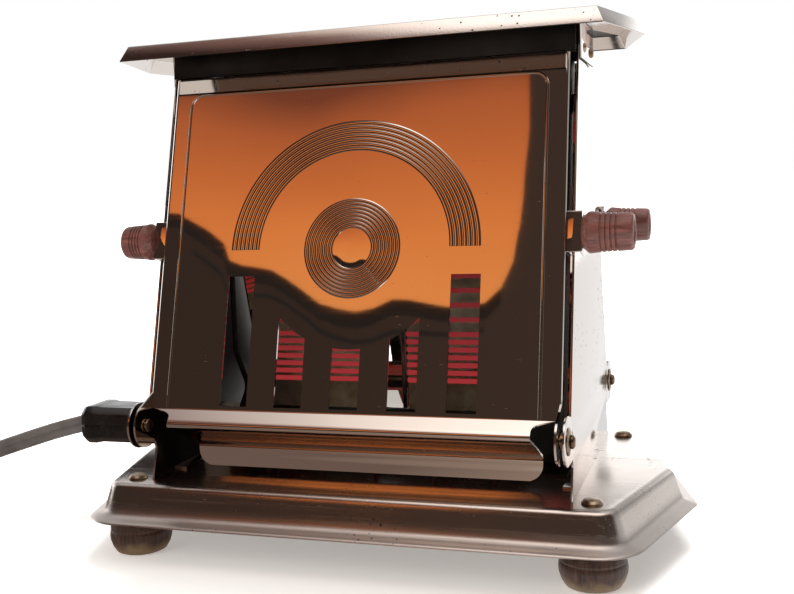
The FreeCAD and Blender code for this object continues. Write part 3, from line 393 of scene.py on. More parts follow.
# %% Lead route
lead_points = [(-129.0, 0, 38.0), (-148, -2.0, 33.9), (-168, -6.5, 27.8), (-185, -12.5, 22.3),
               (-203, -21, 15.4),
               (-221, -32, 9.2), (-240, -43, 5.2)]
tail_points = [(-308.5, 16, 15.4), (-313, 28.5, 15.0), (-318.5, 40, 15.0)]
coil_x, coil_y = -262.0, -9.0
turn_rows = [(43.6, 4.5), (38.8, 4.5), (34.0, 4.5), (34.0, 11.7), (38.8, 11.7), (43.6, 11.7),
             (43.8, 18.7)]
points_per_turn = 16

route = list(lead_points)
for row, (radius, height) in enumerate(turn_rows[:-1]):
    next_radius, next_height = turn_rows[row + 1]
    for k in range(points_per_turn):
        share = max(0.0, (k / points_per_turn - 0.6) / 0.4)
        r = radius + (next_radius - radius) * share
        angle = -math.pi / 2 - 2 * math.pi * k / points_per_turn
        route.append((coil_x + r * math.cos(angle), coil_y + r * math.sin(angle),
                      height + (next_height - height) * share))
for k in range(points_per_turn // 4 + 1):
    angle = -math.pi / 2 - 2 * math.pi * k / points_per_turn
    route.append((coil_x + 43.8 * math.cos(angle), coil_y + 43.8 * math.sin(angle), 18.7))
route.append((-305.9, 3.5, 18.0))
route += tail_points
print("the lead's line has", len(route), "points")

# %% [markdown]
# The section is drawn as a curve of its own and set as the lead's bevel object, so it follows the
# line without a mesh being worked out by hand.  Z_UP keeps the flat flex standing on its edge.

# %% Lead
def section_curve(name, width, height):
    """The closed outline of twin flex: two round cores side by side with a groove between."""
    data = bpy.data.curves.new(name, "CURVE")
    data.dimensions = "2D"
    spline = data.splines.new("NURBS")
    outline = [(0.30, 0.0), (0.50, 0.10), (0.50, 0.42), (0.26, 0.52), (-0.26, 0.52), (-0.50, 0.42),
               (-0.50, 0.10),
               (-0.30, 0.0), (-0.50, -0.10), (-0.50, -0.42), (-0.26, -0.52), (0.26, -0.52), (0.50, -0.42),
               (0.50, -0.10)]
    spline.points.add(len(outline) - 1)
    for point, (a, b) in zip(spline.points, outline):
        point.co = (a * width * MM, b * height * MM, 0, 1)
    spline.use_cyclic_u = True
    spline.order_u = 3
    spline.resolution_u = 3
    return bpy.data.objects.new(name, data)


cord_data = bpy.data.curves.new("mains_lead_flex", "CURVE")
cord_data.dimensions = "3D"
spline = cord_data.splines.new("NURBS")
spline.points.add(len(route) - 1)
for point, place in zip(spline.points, route):
    point.co = (*[c * MM for c in place], 1.0)
spline.order_u = 3
spline.use_endpoint_u = True
spline.resolution_u = 6
bpy.context.scene.collection.objects.link(bpy.data.objects.new("line_reader", cord_data))
line = bpy.data.meshes.new_from_object(bpy.data.objects["line_reader"])
bpy.data.objects.remove(bpy.data.objects["line_reader"])
cord_data.twist_mode = "Z_UP"
cord_data.bevel_mode = "OBJECT"
cord_data.bevel_object = section_curve("flex_section", 4.3, 6.9)
cord_data.use_fill_caps = True
cord = bpy.data.objects.new("mains_lead_flex", cord_data)
bpy.context.collection.objects.link(cord)
cord_data.materials.append(rubber)
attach(cord, "connector")
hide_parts("mains_lead", "lead_coil", "lead_tail")

# %% [markdown]
# The pieces on the lead were moulded or cut in CAD and have the right shape.  Their edges are too
# crisp for moulded parts, so copies with broken edges take their place.

# %% Connector, strap and plug
softened("connector_upper", phenolic, "connector", 0.5, 25, 3)
softened("connector_lower", phenolic, "connector", 0.5, 25, 3)
softened("connector_screw", fastener_steel, "connector", 0.15)
strap = softened("coil_tie", tie_rubber, "connector", 0.2)
plug_blades = softened("plug_blades", brass, "connector", 0.2)


def lathe(profile, steps=64):
    """A piece turned from (radius, along) in mm round the Z axis."""
    bm = bmesh.new()
    verts = [bm.verts.new((r * MM, 0, a * MM)) for r, a in profile]
    edges = [bm.edges.new(pair) for pair in zip(verts, verts[1:])]
    bmesh.ops.spin(bm, geom=verts + edges, cent=(0, 0, 0), axis=(0, 0, 1), angle=2 * math.pi, steps=steps,
                   use_merge=True)
    bmesh.ops.remove_doubles(bm, verts=bm.verts, dist=0.001 * MM)
    return bm


plug_start = Vector(tail_points[-1]) * MM
plug_way = (Vector(tail_points[-1]) - Vector(tail_points[-2])).normalized()
plug_turn = Matrix.Translation(plug_start) @ plug_way.to_track_quat("Z", "Y").to_matrix().to_4x4()
grip_profile = [(0, 0), (3.7, 0), (4.2, 0.5)]
for ring in range(5):
    at = 2.2 + ring * 3.9
    size = 4.4 + at * 0.085
    grip_profile += [(size, at), (size + 0.15, at + 2.2), (size - 0.5, at + 2.6), (size - 0.4, at + 3.4)]
grip_profile += [(6.3, 21.9), (0, 21.9)]
plug_grip = piece(copy_of(lathe(grip_profile), plug_turn), "plug_grip_ribbed", phenolic, "connector",
                  ("plug_grip",))
plug_profile = [(0, 0), (7.0, 0), (8.2, 0.6), (11.0, 4.2), (12.4, 8.0), (12.7, 11.5), (12.6, 14.5),
                (13.4, 17.6),
                (14.7, 20.0), (15.0, 21.5), (15.0, 28.2), (14.6, 29.4), (13.6, 30.0), (0, 30.0)]
plug_place = plug_turn @ Matrix.Translation((0, 0, 22 * MM))
plug = piece(copy_of(lathe(plug_profile), plug_place), "plug_body_turned", phenolic, "connector",
             ("plug_body",), 50)
print("connector, strap and plug placed")

# %% [markdown]
# The door is one pressed sheet, 0.7 mm thick.  Its face is flat, so it is drawn as a filled flat
# outline with the five windows as holes, which gives a clean plane that mirrors well.  The arch and
# the rosette are fine pressed ridges: a short wavy line spun about their common centre.

# %% Door values
tilt = math.radians(15.4)
half_width, face_back, foot_up, height = 75.6, 1.9, 6.2, 126.0
sheet = 0.7
bend = 1.5
return_depth = 11.0
ring_up = foot_up + 58.7
pins_low, pins_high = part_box("pivot_pins_front")
pivot = Vector((0, (pins_low.y + pins_high.y) / 2, (pins_low.z + pins_high.z) / 2))
hang_front = Matrix.Translation(pivot) @ Matrix.Rotation(-tilt, 4, "X")
hang_rear = Matrix.Rotation(math.pi, 4, "Z") @ hang_front
doors = {"front_door": hang_front, "rear_door": hang_rear}
print("the front door hangs at y, z =", round(pivot.y / MM, 1), round(pivot.z / MM, 1))


def flat_sheet(outline, holes, thickness):
    """A flat plate with holes from (across, up) outlines in mm, standing on the XZ plane."""
    data = bpy.data.curves.new("plate_outline", "CURVE")
    data.dimensions = "2D"
    data.fill_mode = "BOTH"
    data.extrude = thickness * MM / 2
    for ring in [outline] + holes:
        edge = data.splines.new("POLY")
        edge.points.add(len(ring) - 1)
        for point, (a, b) in zip(edge.points, ring):
            point.co = (a * MM, b * MM, 0, 1)
        edge.use_cyclic_u = True
    holder = bpy.data.objects.new("plate_outline", data)
    bm = bmesh.new()
    bm.from_mesh(bpy.data.meshes.new_from_object(holder))
    bpy.data.objects.remove(holder)
    bmesh.ops.remove_doubles(bm, verts=bm.verts, dist=0.001 * MM)
    bmesh.ops.rotate(bm, verts=bm.verts, cent=(0, 0, 0), matrix=Matrix.Rotation(math.pi / 2, 3, "X"))
    return bm


def window(index):
    """One window: a square top on the outer two, the arch's curve on the middle three."""
    centre, half = (index - 2) * 21.0, 5.2
    low, high = foot_up + 1.7, foot_up + 49.0
    across = [centre + half - half * 2 * k / 12 for k in range(13)]
    if index in (0, 4):
        top = [(centre + half, high), (centre - half, high)]
    else:
        top = [(a, ring_up - math.sqrt(36.0 ** 2 - a ** 2)) for a in across]
    return [(centre - half, low), (centre + half, low)] + top


# %% [markdown]
# A flat curve with holes becomes the face.  Spin turns a wavy line into the ridges, and a round
# bevel on a path gives the bead, which is sunk in the sheet so that only its crown shows.

# %% Door face, ridges and bead
def ridges(inner, outer, count, depth, sweep, start):
    """Fine ridges between two radii: a wavy line in mm spun about the rings' centre."""
    bm = bmesh.new()
    per_ridge = 6
    points = count * per_ridge + 1
    verts = []
    for k in range(points):
        r = inner + (outer - inner) * k / (points - 1)
        rise = depth * math.sin(math.pi * (k % per_ridge) / per_ridge)
        verts.append(bm.verts.new((r * math.cos(start) * MM, (face_back - rise) * MM,
                                   (ring_up + r * math.sin(start)) * MM)))
    edges = [bm.edges.new(pair) for pair in zip(verts, verts[1:])]
    bmesh.ops.spin(bm, geom=verts + edges, cent=(0, 0, ring_up * MM), axis=(0, -1, 0), angle=sweep,
                   steps=round(sweep / math.pi * 60), use_merge=sweep > 6)
    return bm


def bead_frame(left, top, corner, width, proud):
    """The raised bead: a round rod sunk in the face along a rounded path, open at the foot."""
    data = bpy.data.curves.new("bead", "CURVE")
    data.dimensions = "3D"
    path_points = [(-left, foot_up + 0.6)]
    for side, turn_from in ((-1, math.pi), (1, math.pi / 2)):
        for k in range(9):
            a = turn_from - math.pi / 2 * k / 8
            path_points.append((side * (left - corner) + corner * math.cos(a),
                                top - corner + corner * math.sin(a)))
    path_points.append((left, foot_up + 0.6))
    spline = data.splines.new("POLY")
    spline.points.add(len(path_points) - 1)
    for point, (a, b) in zip(spline.points, path_points):
        point.co = (a * MM, (face_back + width / 2 - proud) * MM, b * MM, 1)
    data.bevel_depth = width / 2 * MM
    data.bevel_resolution = 5
    holder = bpy.data.objects.new("bead", data)
    bm = bmesh.new()
    bm.from_mesh(bpy.data.meshes.new_from_object(holder))
    bpy.data.objects.remove(holder)
    return bm


def dish(radius, depth):
    """The plain disc inside the rosette, dished by a small depth."""
    disc_lift = 0.02
    bm = bmesh.new()
    verts = [bm.verts.new((radius * k / 8 * MM, (face_back - disc_lift - depth * (1 - (k / 8) ** 2)) * MM,
                           ring_up * MM))
             for k in range(9)]
    edges = [bm.edges.new(pair) for pair in zip(verts, verts[1:])]
    bmesh.ops.spin(bm, geom=verts + edges, cent=(0, 0, ring_up * MM), axis=(0, -1, 0), angle=2 * math.pi,
                   steps=60, use_merge=True)
    bmesh.ops.remove_doubles(bm, verts=bm.verts, dist=0.001 * MM)
    return bm


flat_half = half_width - bend
face_bm = flat_sheet([(-flat_half, foot_up + 0.8), (flat_half, foot_up + 0.8),
                      (flat_half, foot_up + height),
                      (-flat_half, foot_up + height)], [window(k) for k in range(5)], sheet)
bmesh.ops.translate(face_bm, verts=face_bm.verts, vec=(0, (face_back + sheet / 2) * MM, 0))
arch_bm = ridges(35.7, 46.9, 7, 0.17, math.pi, 0.0)
rosette_bm = ridges(7.2, 18.1, 8, 0.17, 2 * math.pi, 0.0)
disc_bm = dish(7.2, 0.16)
bead_bm = bead_frame(half_width - 7.3, foot_up + height - 6.8, 5.0, 1.5, 0.28)
print("face with", len(face_bm.faces), "faces, arch with", len(arch_bm.faces), "and rosette with",
      len(rosette_bm.faces))

# %% [markdown]
# The sheet's sides are bent back round a small radius, which spin gives from a single vertex.  They
# end in the ears that hang on the pins.  At the foot the sheet becomes a shelf for the bread, with
# a rolled front and a turned-down flap: two lines of points are bridged, then given a thickness.

# %% Door edges, ears and shelf
def edge_strip(side):
    """The door's bent-back edge: a vertex spun round the bend, drawn back, then drawn up."""
    bm = bmesh.new()
    start = bm.verts.new((side * flat_half * MM, face_back * MM, (foot_up + 0.8) * MM))
    middle = (side * flat_half * MM, (face_back + bend) * MM, start.co.z)
    spun = bmesh.ops.spin(bm, geom=[start], cent=middle, axis=(0, 0, side), angle=math.pi / 2, steps=6)
    last = [g for g in spun["geom_last"] if isinstance(g, bmesh.types.BMVert)][0]
    drawn = bmesh.ops.extrude_vert_indiv(bm, verts=[last])["verts"][0]
    drawn.co.y = (face_back + return_depth) * MM
    up = bmesh.ops.extrude_edge_only(bm, edges=bm.edges[:])["geom"]
    bmesh.ops.translate(bm, verts=[g for g in up if isinstance(g, bmesh.types.BMVert)],
                        vec=(0, 0, (height - 0.8) * MM))
    bmesh.ops.recalc_face_normals(bm, faces=bm.faces)
    outward = sum((f.normal.x * side for f in bm.faces))
    if outward < 0:
        bmesh.ops.reverse_faces(bm, faces=bm.faces)
    bmesh.ops.solidify(bm, geom=bm.faces[:], thickness=sheet * MM)
    return bm


def arc_points(centre, radius, start, end, steps):
    """Points on an arc between two angles in degrees."""
    turns = [math.radians(start + (end - start) * k / steps) for k in range(steps + 1)]
    return [(centre[0] + radius * math.cos(a), centre[1] + radius * math.sin(a)) for a in turns]


def ear(side):
    """The edge carried down to a round lobe with the pivot's hole."""
    lobe_radius, hole_radius = 8, 1.56
    lobe = arc_points((0, 0), lobe_radius, 135, 330, 15)
    outline = [(face_back + return_depth, foot_up + 9), (face_back + bend, foot_up + 9),
               (face_back + 0.6, foot_up + 6)] + lobe + [(face_back + return_depth, foot_up)]
    hole = arc_points((0, 0), hole_radius, 0, 342, 19)
    bm = flat_sheet(outline, [hole], sheet)
    bmesh.ops.rotate(bm, verts=bm.verts, cent=(0, 0, 0), matrix=Matrix.Rotation(math.pi / 2, 3, "Z"))
    bmesh.ops.translate(bm, verts=bm.verts, vec=(side * (half_width - sheet / 2) * MM, 0, 0))
    return bm


def shelf():
    """Ledge, rolled front, toe and flap: one section in (back, up), drawn to its own half width."""
    section = [(face_back, foot_up + 0.8)]
    for k in range(11):
        t = k / 10
        section.append((face_back - 3.1 * t, foot_up + 0.4 - 4.6 * t))
    section += arc_points((-0.35, 0.75), 1.35, 155, 282, 7)
    section += [(10.0, -2.2), (20.0, -4.25)]
    section += [(22.6, -4.75), (23.4, -5.0), (24.0, -5.6), (24.3, -6.6), (24.5, -7.6), (24.7, -8.6)]
    section += [(24.9 + 0.18 * k, -9.2 - k) for k in range(5)]
    wide, narrow, toe_corner, corner_up = half_width - sheet, 66.0, 6.0, -7.4
    bm = bmesh.new()
    ends = {-1: [], 1: []}
    for back, up in section:
        t = min(max((up - 1.6) / (foot_up - 1.2), 0.0), 1.0) if back < 5 else 0.0
        w = narrow + (wide - narrow) * t ** 4
        below = min(max(0.0, corner_up - up), toe_corner)
        w -= toe_corner - math.sqrt(toe_corner ** 2 - below ** 2)
        for side, row in ends.items():
            row.append(bm.verts.new((side * w * MM, back * MM, up * MM)))
    for row in ends.values():
        for pair in zip(row, row[1:]):
            bm.edges.new(pair)
    bmesh.ops.bridge_loops(bm, edges=bm.edges[:])
    bmesh.ops.recalc_face_normals(bm, faces=bm.faces)
    if max(bm.faces, key=lambda f: f.calc_center_median().z).normal.y > 0:
        bmesh.ops.reverse_faces(bm, faces=bm.faces)
    bmesh.ops.solidify(bm, geom=bm.faces[:], thickness=sheet * MM)
    return bm


parts_of_door = {"face": (face_bm, 20), "arch": (arch_bm, 60), "rosette": (rosette_bm, 60),
                 "disc": (disc_bm, 60), "bead": (bead_bm, 60),
                 "edge_left": (edge_strip(-1), 40), "edge_right": (edge_strip(1), 40),
                 "ear_left": (ear(-1), 30), "ear_right": (ear(1), 30), "shelf": (shelf(), 50)}
for body, place in doors.items():
    for part, (bm, crease) in parts_of_door.items():
        piece(copy_of(bm, place), f"{body}_{part}", door_chrome, body, (f"{body}_panel",),
              crease)
print("each door has", len(parts_of_door), "pieces of sheet")

# %% [markdown]
# Knobs and feet are turned on a lathe: a profile line spun once round its axis.

# %% Knobs and brackets
def knob_profile(length):
    """A short chamfer at the bracket, four grooves on a slow taper, and a slightly hollow end."""
    line = [(0, 0), (5.0, 0), (5.25, 0.1), (6.85, 2.0), (7.0, 2.35), (6.98, 3.0)]
    for groove in range(4):
        at = length * (0.37 + 0.10 * groove)
        size = 7.0 - 0.9 * at / length
        line += [(size, at - 0.32), (size - 0.38, at - 0.12), (size - 0.38, at + 0.12), (size, at + 0.32)]
    return line + [(6.2, length - 1.1), (6.0, length - 0.5), (5.5, length - 0.1), (5.0, length),
                   (4.3, length - 0.1),
                   (4.0, length - 0.6), (0, length - 0.7)]


knob_out, knob_axis = 80.6, (6.2, 69.6)
for body, place in doors.items():
    for side in (-1, 1):
        hand = "left" if (side < 0) == (body == "front_door") else "right"
        node = body.replace("_door", "_knob_") + hand
        stand_off = Matrix.Translation(Vector((side * knob_out, *knob_axis)) * MM)
        knob_turn = place @ stand_off @ Matrix.Rotation(side * math.pi / 2, 4, "Y")
        length = 13.0 if node == "front_knob_left" else 17.0
        piece(copy_of(lathe(knob_profile(length)), knob_turn), node + "_turned", knob_wood, body,
              (node,), 38)
        softened(node.replace("knob_", "knob_tab_"), door_chrome, body, 0.35, 28, 3)
print("four knobs turned, their axis", knob_axis[1], "mm above the pins")

# %% [markdown]
# The feet are turned from the table up: a flat sole, a full belly, a neck and a plain spigot that
# goes up inside the tray.  Each is turned a little about its axis, so that no two show one grain.

# %% Feet and bolts
foot_profile = [(0, 0.0), (3.7, 0.0), (8.2, 0.0), (9.3, 0.5), (10.6, 2.6), (11.3, 5.0), (11.4, 6.6),
                (11.2, 8.2),
                (10.9, 8.5), (10.9, 9.0), (11.1, 9.3), (10.6, 11.3), (9.6, 13.2), (9.0, 14.2),
                (6.0, 14.3), (6.0, 26.0), (0, 26.0)]
for corner in ("front_left", "front_right", "rear_left", "rear_right"):
    low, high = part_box("foot_" + corner)
    centre = (Vector(low) + Vector(high)) / 2
    stand = Matrix.Translation((centre.x, centre.y, 0)) @ Matrix.Rotation(centre.x * 40, 4, "Z")
    piece(copy_of(lathe(foot_profile), stand), f"foot_{corner}_turned", foot_wood, "stand",
          ("foot_" + corner,), 38)
softened("foot_bolts", fastener_steel, "stand", 0.25, 30, 2)
print("four feet turned,", max(r for r, up in foot_profile) * 2, "mm across")

# %% [markdown]
# The tray is a pressed hexagon, built as stacked rings: each ring is the plan outline grown
# outwards by the press's profile, with its corners rounded by a vertex bevel, and neighbouring
# rings are bridged.  The lid above the doors keeps its CAD shape, because its slots are already
# right: it only gets broken edges, and its underside gets the dark steel as painted shade.

# %% Tray and lid
NOSE = 0.268


def hexagon_ring(bm, half_length, half_depth, grow, z, corner):
    """One closed outline of the long hexagon, grown outwards, with its corners rounded, in mm."""
    known = set(bm.edges)
    nose = half_length + half_depth * NOSE + grow * math.hypot(1, NOSE)
    depth = half_depth + grow
    side = nose - depth * NOSE
    places = [(nose, 0), (side, depth), (-side, depth), (-nose, 0), (-side, -depth), (side, -depth)]
    verts = [bm.verts.new((x * MM, y * MM, z * MM)) for x, y in places]
    for a, b in zip(verts, verts[1:] + verts[:1]):
        bm.edges.new((a, b))
    for points, size in (((verts[0], verts[3]), 0.12), ((verts[1], verts[2], verts[4], verts[5]), 0.77)):
        bmesh.ops.bevel(bm, geom=points, offset=(corner + grow) * size * MM, segments=5, profile=0.5,
                        affect="VERTICES", material=-1, clamp_overlap=False)
    return [e for e in bm.edges if e not in known]


def pressed(half_length, half_depth, levels, thickness, corner):
    """Rings bridged in turn and closed with a flat top; levels are (grow, z) from the top down."""
    bm = bmesh.new()
    rings = [hexagon_ring(bm, half_length, half_depth, grow, z, corner) for grow, z in levels]
    for upper, lower in zip(rings, rings[1:]):
        bmesh.ops.bridge_loops(bm, edges=upper + lower)
    bmesh.ops.contextual_create(bm, geom=rings[0])
    bmesh.ops.recalc_face_normals(bm, faces=bm.faces)
    if max(bm.faces, key=lambda f: f.calc_center_median().z).normal.z < 0:
        bmesh.ops.reverse_faces(bm, faces=bm.faces)
    bmesh.ops.solidify(bm, geom=bm.faces[:], thickness=thickness * MM)
    return bm


tray_low, tray_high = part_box("base_shell")
top_z, lip_z = tray_high.z / MM, tray_low.z / MM
drop = top_z - lip_z
skirt = [(-1.2, top_z), (-0.3, top_z - 0.10), (0.5, top_z - 0.45), (1.1, top_z - 1.0), (1.5, top_z - 1.7)]
skirt += [(1.5 + 2.5 * k / 6, top_z - 1.7 - (drop - 5.2) * k / 6) for k in range(1, 7)]
skirt += [(4.35, lip_z + 2.85), (4.95, lip_z + 2.25), (5.8, lip_z + 1.7), (6.8, lip_z + 1.3),
          (7.9, lip_z + 1.0),
          (8.8, lip_z + 0.7), (9.3, lip_z + 0.4), (9.5, lip_z + 0.1)]
piece(pressed(91.0, 56.0, skirt, 0.9, 6.0), "tray_pressed", skirt_chrome, "stand",
             ("base_shell",), 50)
lid = softened("top_plate", tray_chrome, "stand", 0.35, 25, 3)
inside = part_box("end_plate_right")[1].x + 5 * MM
# Painted shade: the lid's underside between the end plates gets the dark steel.
lid.data.materials.append(smoke_and_shade_steel)
for face in lid.data.polygons:
    if face.normal.z < -0.5 and abs(face.center.x) < inside:
        face.material_index = 1
print("tray pressed and lid softened, skirt", round(drop, 1), "mm deep")

# %% [markdown]
# Everything else keeps its CAD shape.  What shows gets broken edges; what hides gets its finish.

# %% Plates, pins and washers
# Painted shade: the end plates' faces towards the middle get the dark steel.
for side, sign in (("left", -1), ("right", 1)):
    inner_faces(softened("end_plate_" + side, tray_chrome, "stand", 0.12), smoke_and_shade_steel,
                sign)
for side in ("front", "rear"):
    softened("pivot_pins_" + side, fastener_steel, "stand", 0.3, 30, 2)
    softened("header_" + side, smoke_and_shade_steel, "stand", 0.2)
softened("cup_washers", fastener_steel, "stand", 0.1, 40, 1)
finishes = {
    "bottom_plate": inner_steel, "foot_nuts": fastener_steel, "hanger_rivets": fastener_steel,
    "mica_card_left": mica, "mica_card_right": mica, "ribbon_left": ribbon_hot,
            "ribbon_right": ribbon_hot,
    "lower_board": board, "upper_rail": inner_steel, "card_strips": board, "guards_front": inner_steel,
    "guards_rear": inner_steel, "guard_bar_front": inner_steel, "guard_bar_rear": inner_steel,
    "heat_shield": inner_steel, "terminal_block": ceramic, "terminal_pins": brass, "terminal_nuts": brass,
    "lead_front": sleeve, "lead_rear": sleeve, "pivot_spacers": fastener_steel,
            "connector_contacts": brass,
    "front_knob_screws": fastener_steel, "rear_knob_screws": fastener_steel,
}
for node, material in finishes.items():
    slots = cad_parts[node].material_slots
    for slot in slots:
        slot.material = material
print(len(finishes), "CAD nodes given finishes")

# %% [markdown]
# The room: a pale floor and soft light all round, white behind and to the right.  In front it is
# dark and warm, because chrome shows the room in front of it.  An orange glowing board stands in
# front as a painted reflection: only mirrors see it, and its wavy lower edge is placed to show on the
# door.

# %% Floor and world
floor_bm = bmesh.new()
bmesh.ops.create_grid(floor_bm, x_segments=1, y_segments=1, size=30.0)
floor_mesh = bpy.data.meshes.new("floor")
floor_bm.to_mesh(floor_mesh)
floor_bm.free()
floor = bpy.data.objects.new("floor", floor_mesh)
floor.location.z = -0.0002
bpy.context.collection.objects.link(floor)
# Painted reflection and painted light: mirrors see the floor darker brown towards the front and left of
# the toaster and white behind and to the right, and the floor glows, weakly near the toaster and more
# strongly far off, so that it turns white in the distance.
pale, pale_tree, pale_shader = finish("pale_paper_sweep", Roughness=0.8, Base_Color=grey(0.9),
                                      Emission_Color=[1.0, 0.96, 0.91, 1], Emission_Strength=0.35)
spot = add(pale_tree, "ShaderNodeSeparateXYZ", None, None,
           {"Vector": add(pale_tree, "ShaderNodeTexCoord").outputs["Object"]})
across = add(pale_tree, "ShaderNodeMapRange", None, {"From Min": -0.10, "From Max": 0.16},
             {"Value": spot.outputs["X"]})
behind = add(pale_tree, "ShaderNodeMapRange", None, {"From Min": -0.06, "From Max": 0.10},
             {"Value": spot.outputs["Y"]})
bright = add(pale_tree, "ShaderNodeMath", {"operation": "MAXIMUM"}, None,
             {0: across.outputs["Result"], 1: behind.outputs["Result"]})
painted_floor_reflection = add(pale_tree, "ShaderNodeEmission", None, None,
                    {"Color": add(pale_tree, "ShaderNodeValToRGB",
                                  {"stops": [(0.0, linear("#75625a")), (0.5, linear("#a08c80")),
                                             (1.0, grey(1.0))]}, None,
                                  {"Fac": bright.outputs["Value"]}).outputs["Color"]})
from_middle = add(pale_tree, "ShaderNodeVectorMath", {"operation": "LENGTH"}, None,
                  {0: add(pale_tree, "ShaderNodeTexCoord").outputs["Object"]})
painted_far_glow = add(pale_tree, "ShaderNodeMapRange", None, {"From Min": 0.25, "From Max": 0.8, "To Min": 0.35,
                                                       "To Max": 1.3},
               {"Value": from_middle.outputs["Value"]})
pale_tree.links.new(painted_far_glow.outputs["Result"], pale_shader.inputs["Emission Strength"])
is_mirror = add(pale_tree, "ShaderNodeLightPath")
both = add(pale_tree, "ShaderNodeMixShader", None, None,
           {0: is_mirror.outputs["Is Glossy Ray"], 1: pale_shader.outputs["BSDF"],
            2: painted_floor_reflection.outputs["Emission"]})
pale_tree.links.new(both.outputs["Shader"], pale_tree.nodes["Material Output"].inputs["Surface"])
floor_mesh.materials.append(pale)

world = bpy.data.worlds.new("studio")
bpy.context.scene.world = world
world.use_nodes = True
sky = world.node_tree
background = sky.nodes["Background"]
where = add(sky, "ShaderNodeTexCoord")
parts = add(sky, "ShaderNodeSeparateXYZ", None, None, {"Vector": where.outputs["Generated"]})
height_share = add(sky, "ShaderNodeMapRange", None, {"From Min": -1.0, "From Max": 1.0},
                   {"Value": parts.outputs["Z"]}).outputs["Result"]
left_tone = add(sky, "ShaderNodeValToRGB", {"stops": [(0.0, linear("#75625a")), (0.50, linear("#5f5047")),
                                                      (0.54, linear("#3a3029")),
                                                      (0.86, linear("#3a2a26")),
                                                      (0.93, linear("#8c6c64")),
                                                      (0.965, linear("#ffeee4"))]}, None,
                {"Fac": height_share}).outputs["Color"]
right_tone = add(sky, "ShaderNodeValToRGB", {"stops": [(0.0, linear("#a08c80")),
                                                       (0.50, linear("#6b5a50")),
                                                       (0.54, linear("#42362e")),
                                                       (0.84, linear("#43352e")),
                                                       (0.89, linear("#a4938a")),
                                                       (0.93, linear("#fff6f0"))]}, None,
                 {"Fac": height_share}).outputs["Color"]
blown = add(sky, "ShaderNodeMapRange", None, {"From Min": 0.90, "From Max": 0.96, "To Min": 1.0,
                                              "To Max": 1.8},
            {"Value": height_share})
right_tone = add(sky, "ShaderNodeVectorMath", {"operation": "SCALE"}, None,
                 {0: right_tone, "Scale": blown.outputs["Result"]}).outputs["Vector"]
left_lift = add(sky, "ShaderNodeMapRange", None, {"From Min": 0.96, "From Max": 0.985, "To Min": 1.0,
                                                  "To Max": 1.3},
                {"Value": height_share})
left_tone = add(sky, "ShaderNodeVectorMath", {"operation": "SCALE"}, None,
                {0: left_tone, "Scale": left_lift.outputs["Result"]}).outputs["Vector"]
side_share = add(sky, "ShaderNodeMapRange", {"interpolation_type": "SMOOTHSTEP"},
                 {"From Min": -0.42, "From Max": -0.12},
                 {"Value": parts.outputs["X"]})
front_mix = add(sky, "ShaderNodeMix", {"data_type": "RGBA"}, None,
                {0: side_share.outputs["Result"], 6: left_tone, 7: right_tone})
front_tone = front_mix.outputs[2]
back_tone = add(sky, "ShaderNodeValToRGB", {"stops": [(0.0, grey(0.85)), (0.5, grey(1.0)),
                                                      (0.655, grey(1.0)), (0.70, grey(0.60)),
                                                      (0.80, grey(0.36)), (0.90, grey(0.60)),
                                                      (1.0, grey(0.9))]}, None,
                {"Fac": height_share}).outputs["Color"]
back_lift = add(sky, "ShaderNodeMapRange", None, {"From Min": 0.64, "From Max": 0.70, "To Min": 1.8,
                                                  "To Max": 1.0},
                {"Value": height_share})
back_tone = add(sky, "ShaderNodeVectorMath", {"operation": "SCALE"}, None,
                {0: back_tone, "Scale": back_lift.outputs["Result"]}).outputs["Vector"]
far_tone = add(sky, "ShaderNodeValToRGB", {"stops": [(0.0, grey(0.55)), (0.5, grey(0.62)),
                                                     (0.60, grey(0.40)), (0.75, grey(0.28)),
                                                     (0.90, grey(0.60)), (1.0, grey(0.9))]}, None,
               {"Fac": height_share}).outputs["Color"]
far_share = add(sky, "ShaderNodeMapRange", {"interpolation_type": "SMOOTHSTEP"},
                {"From Min": 0.35, "From Max": 0.6},
                {"Value": parts.outputs["X"]})
back_tone = add(sky, "ShaderNodeMix", {"data_type": "RGBA"}, None,
                {0: far_share.outputs["Result"], 6: back_tone, 7: far_tone}).outputs[2]
front_share = add(sky, "ShaderNodeMapRange", {"interpolation_type": "SMOOTHSTEP"},
                  {"From Min": 0.12, "From Max": -0.18, "To Min": 0.0, "To Max": 1.0},
                  {"Value": parts.outputs["Y"]})
room = add(sky, "ShaderNodeMix", {"data_type": "RGBA"}, None,
           {0: front_share.outputs["Result"], 6: back_tone, 7: front_tone})
seen = add(sky, "ShaderNodeLightPath")
shown = add(sky, "ShaderNodeMix", {"data_type": "RGBA"}, {7: grey(1.0)},
            {0: seen.outputs["Is Camera Ray"], 6: room.outputs[2]})
sky.links.new(shown.outputs[2], background.inputs["Color"])
print("the room has", len(sky.nodes), "nodes")

# %% [markdown]
# A plane mirror shows what lies along the turned-back ray.  So the board's outline is given as
# points on the door, and each is carried along its mirrored ray to a plane in front.  It glows,
# and only mirrors see it: it lights nothing and throws no shadow.  It is a painted reflection on
# the door, and two dark boards below it paint dark lines into that reflection.

# %% Glowing board that paints the door's reflection
def mirrored_place(u, v, distance):
    """Where a ray from the camera, mirrored at (u, v) mm on the door's face, meets a plane in front."""
    point = hang_front @ (Vector((u, face_back, foot_up + v)) * MM)
    normal = (hang_front.to_3x3() @ Vector((0, -1, 0))).normalized()
    ray = (point - eye).normalized()
    out = ray - 2 * ray.dot(normal) * normal
    return point + out * ((-distance - point.y) / out.y)


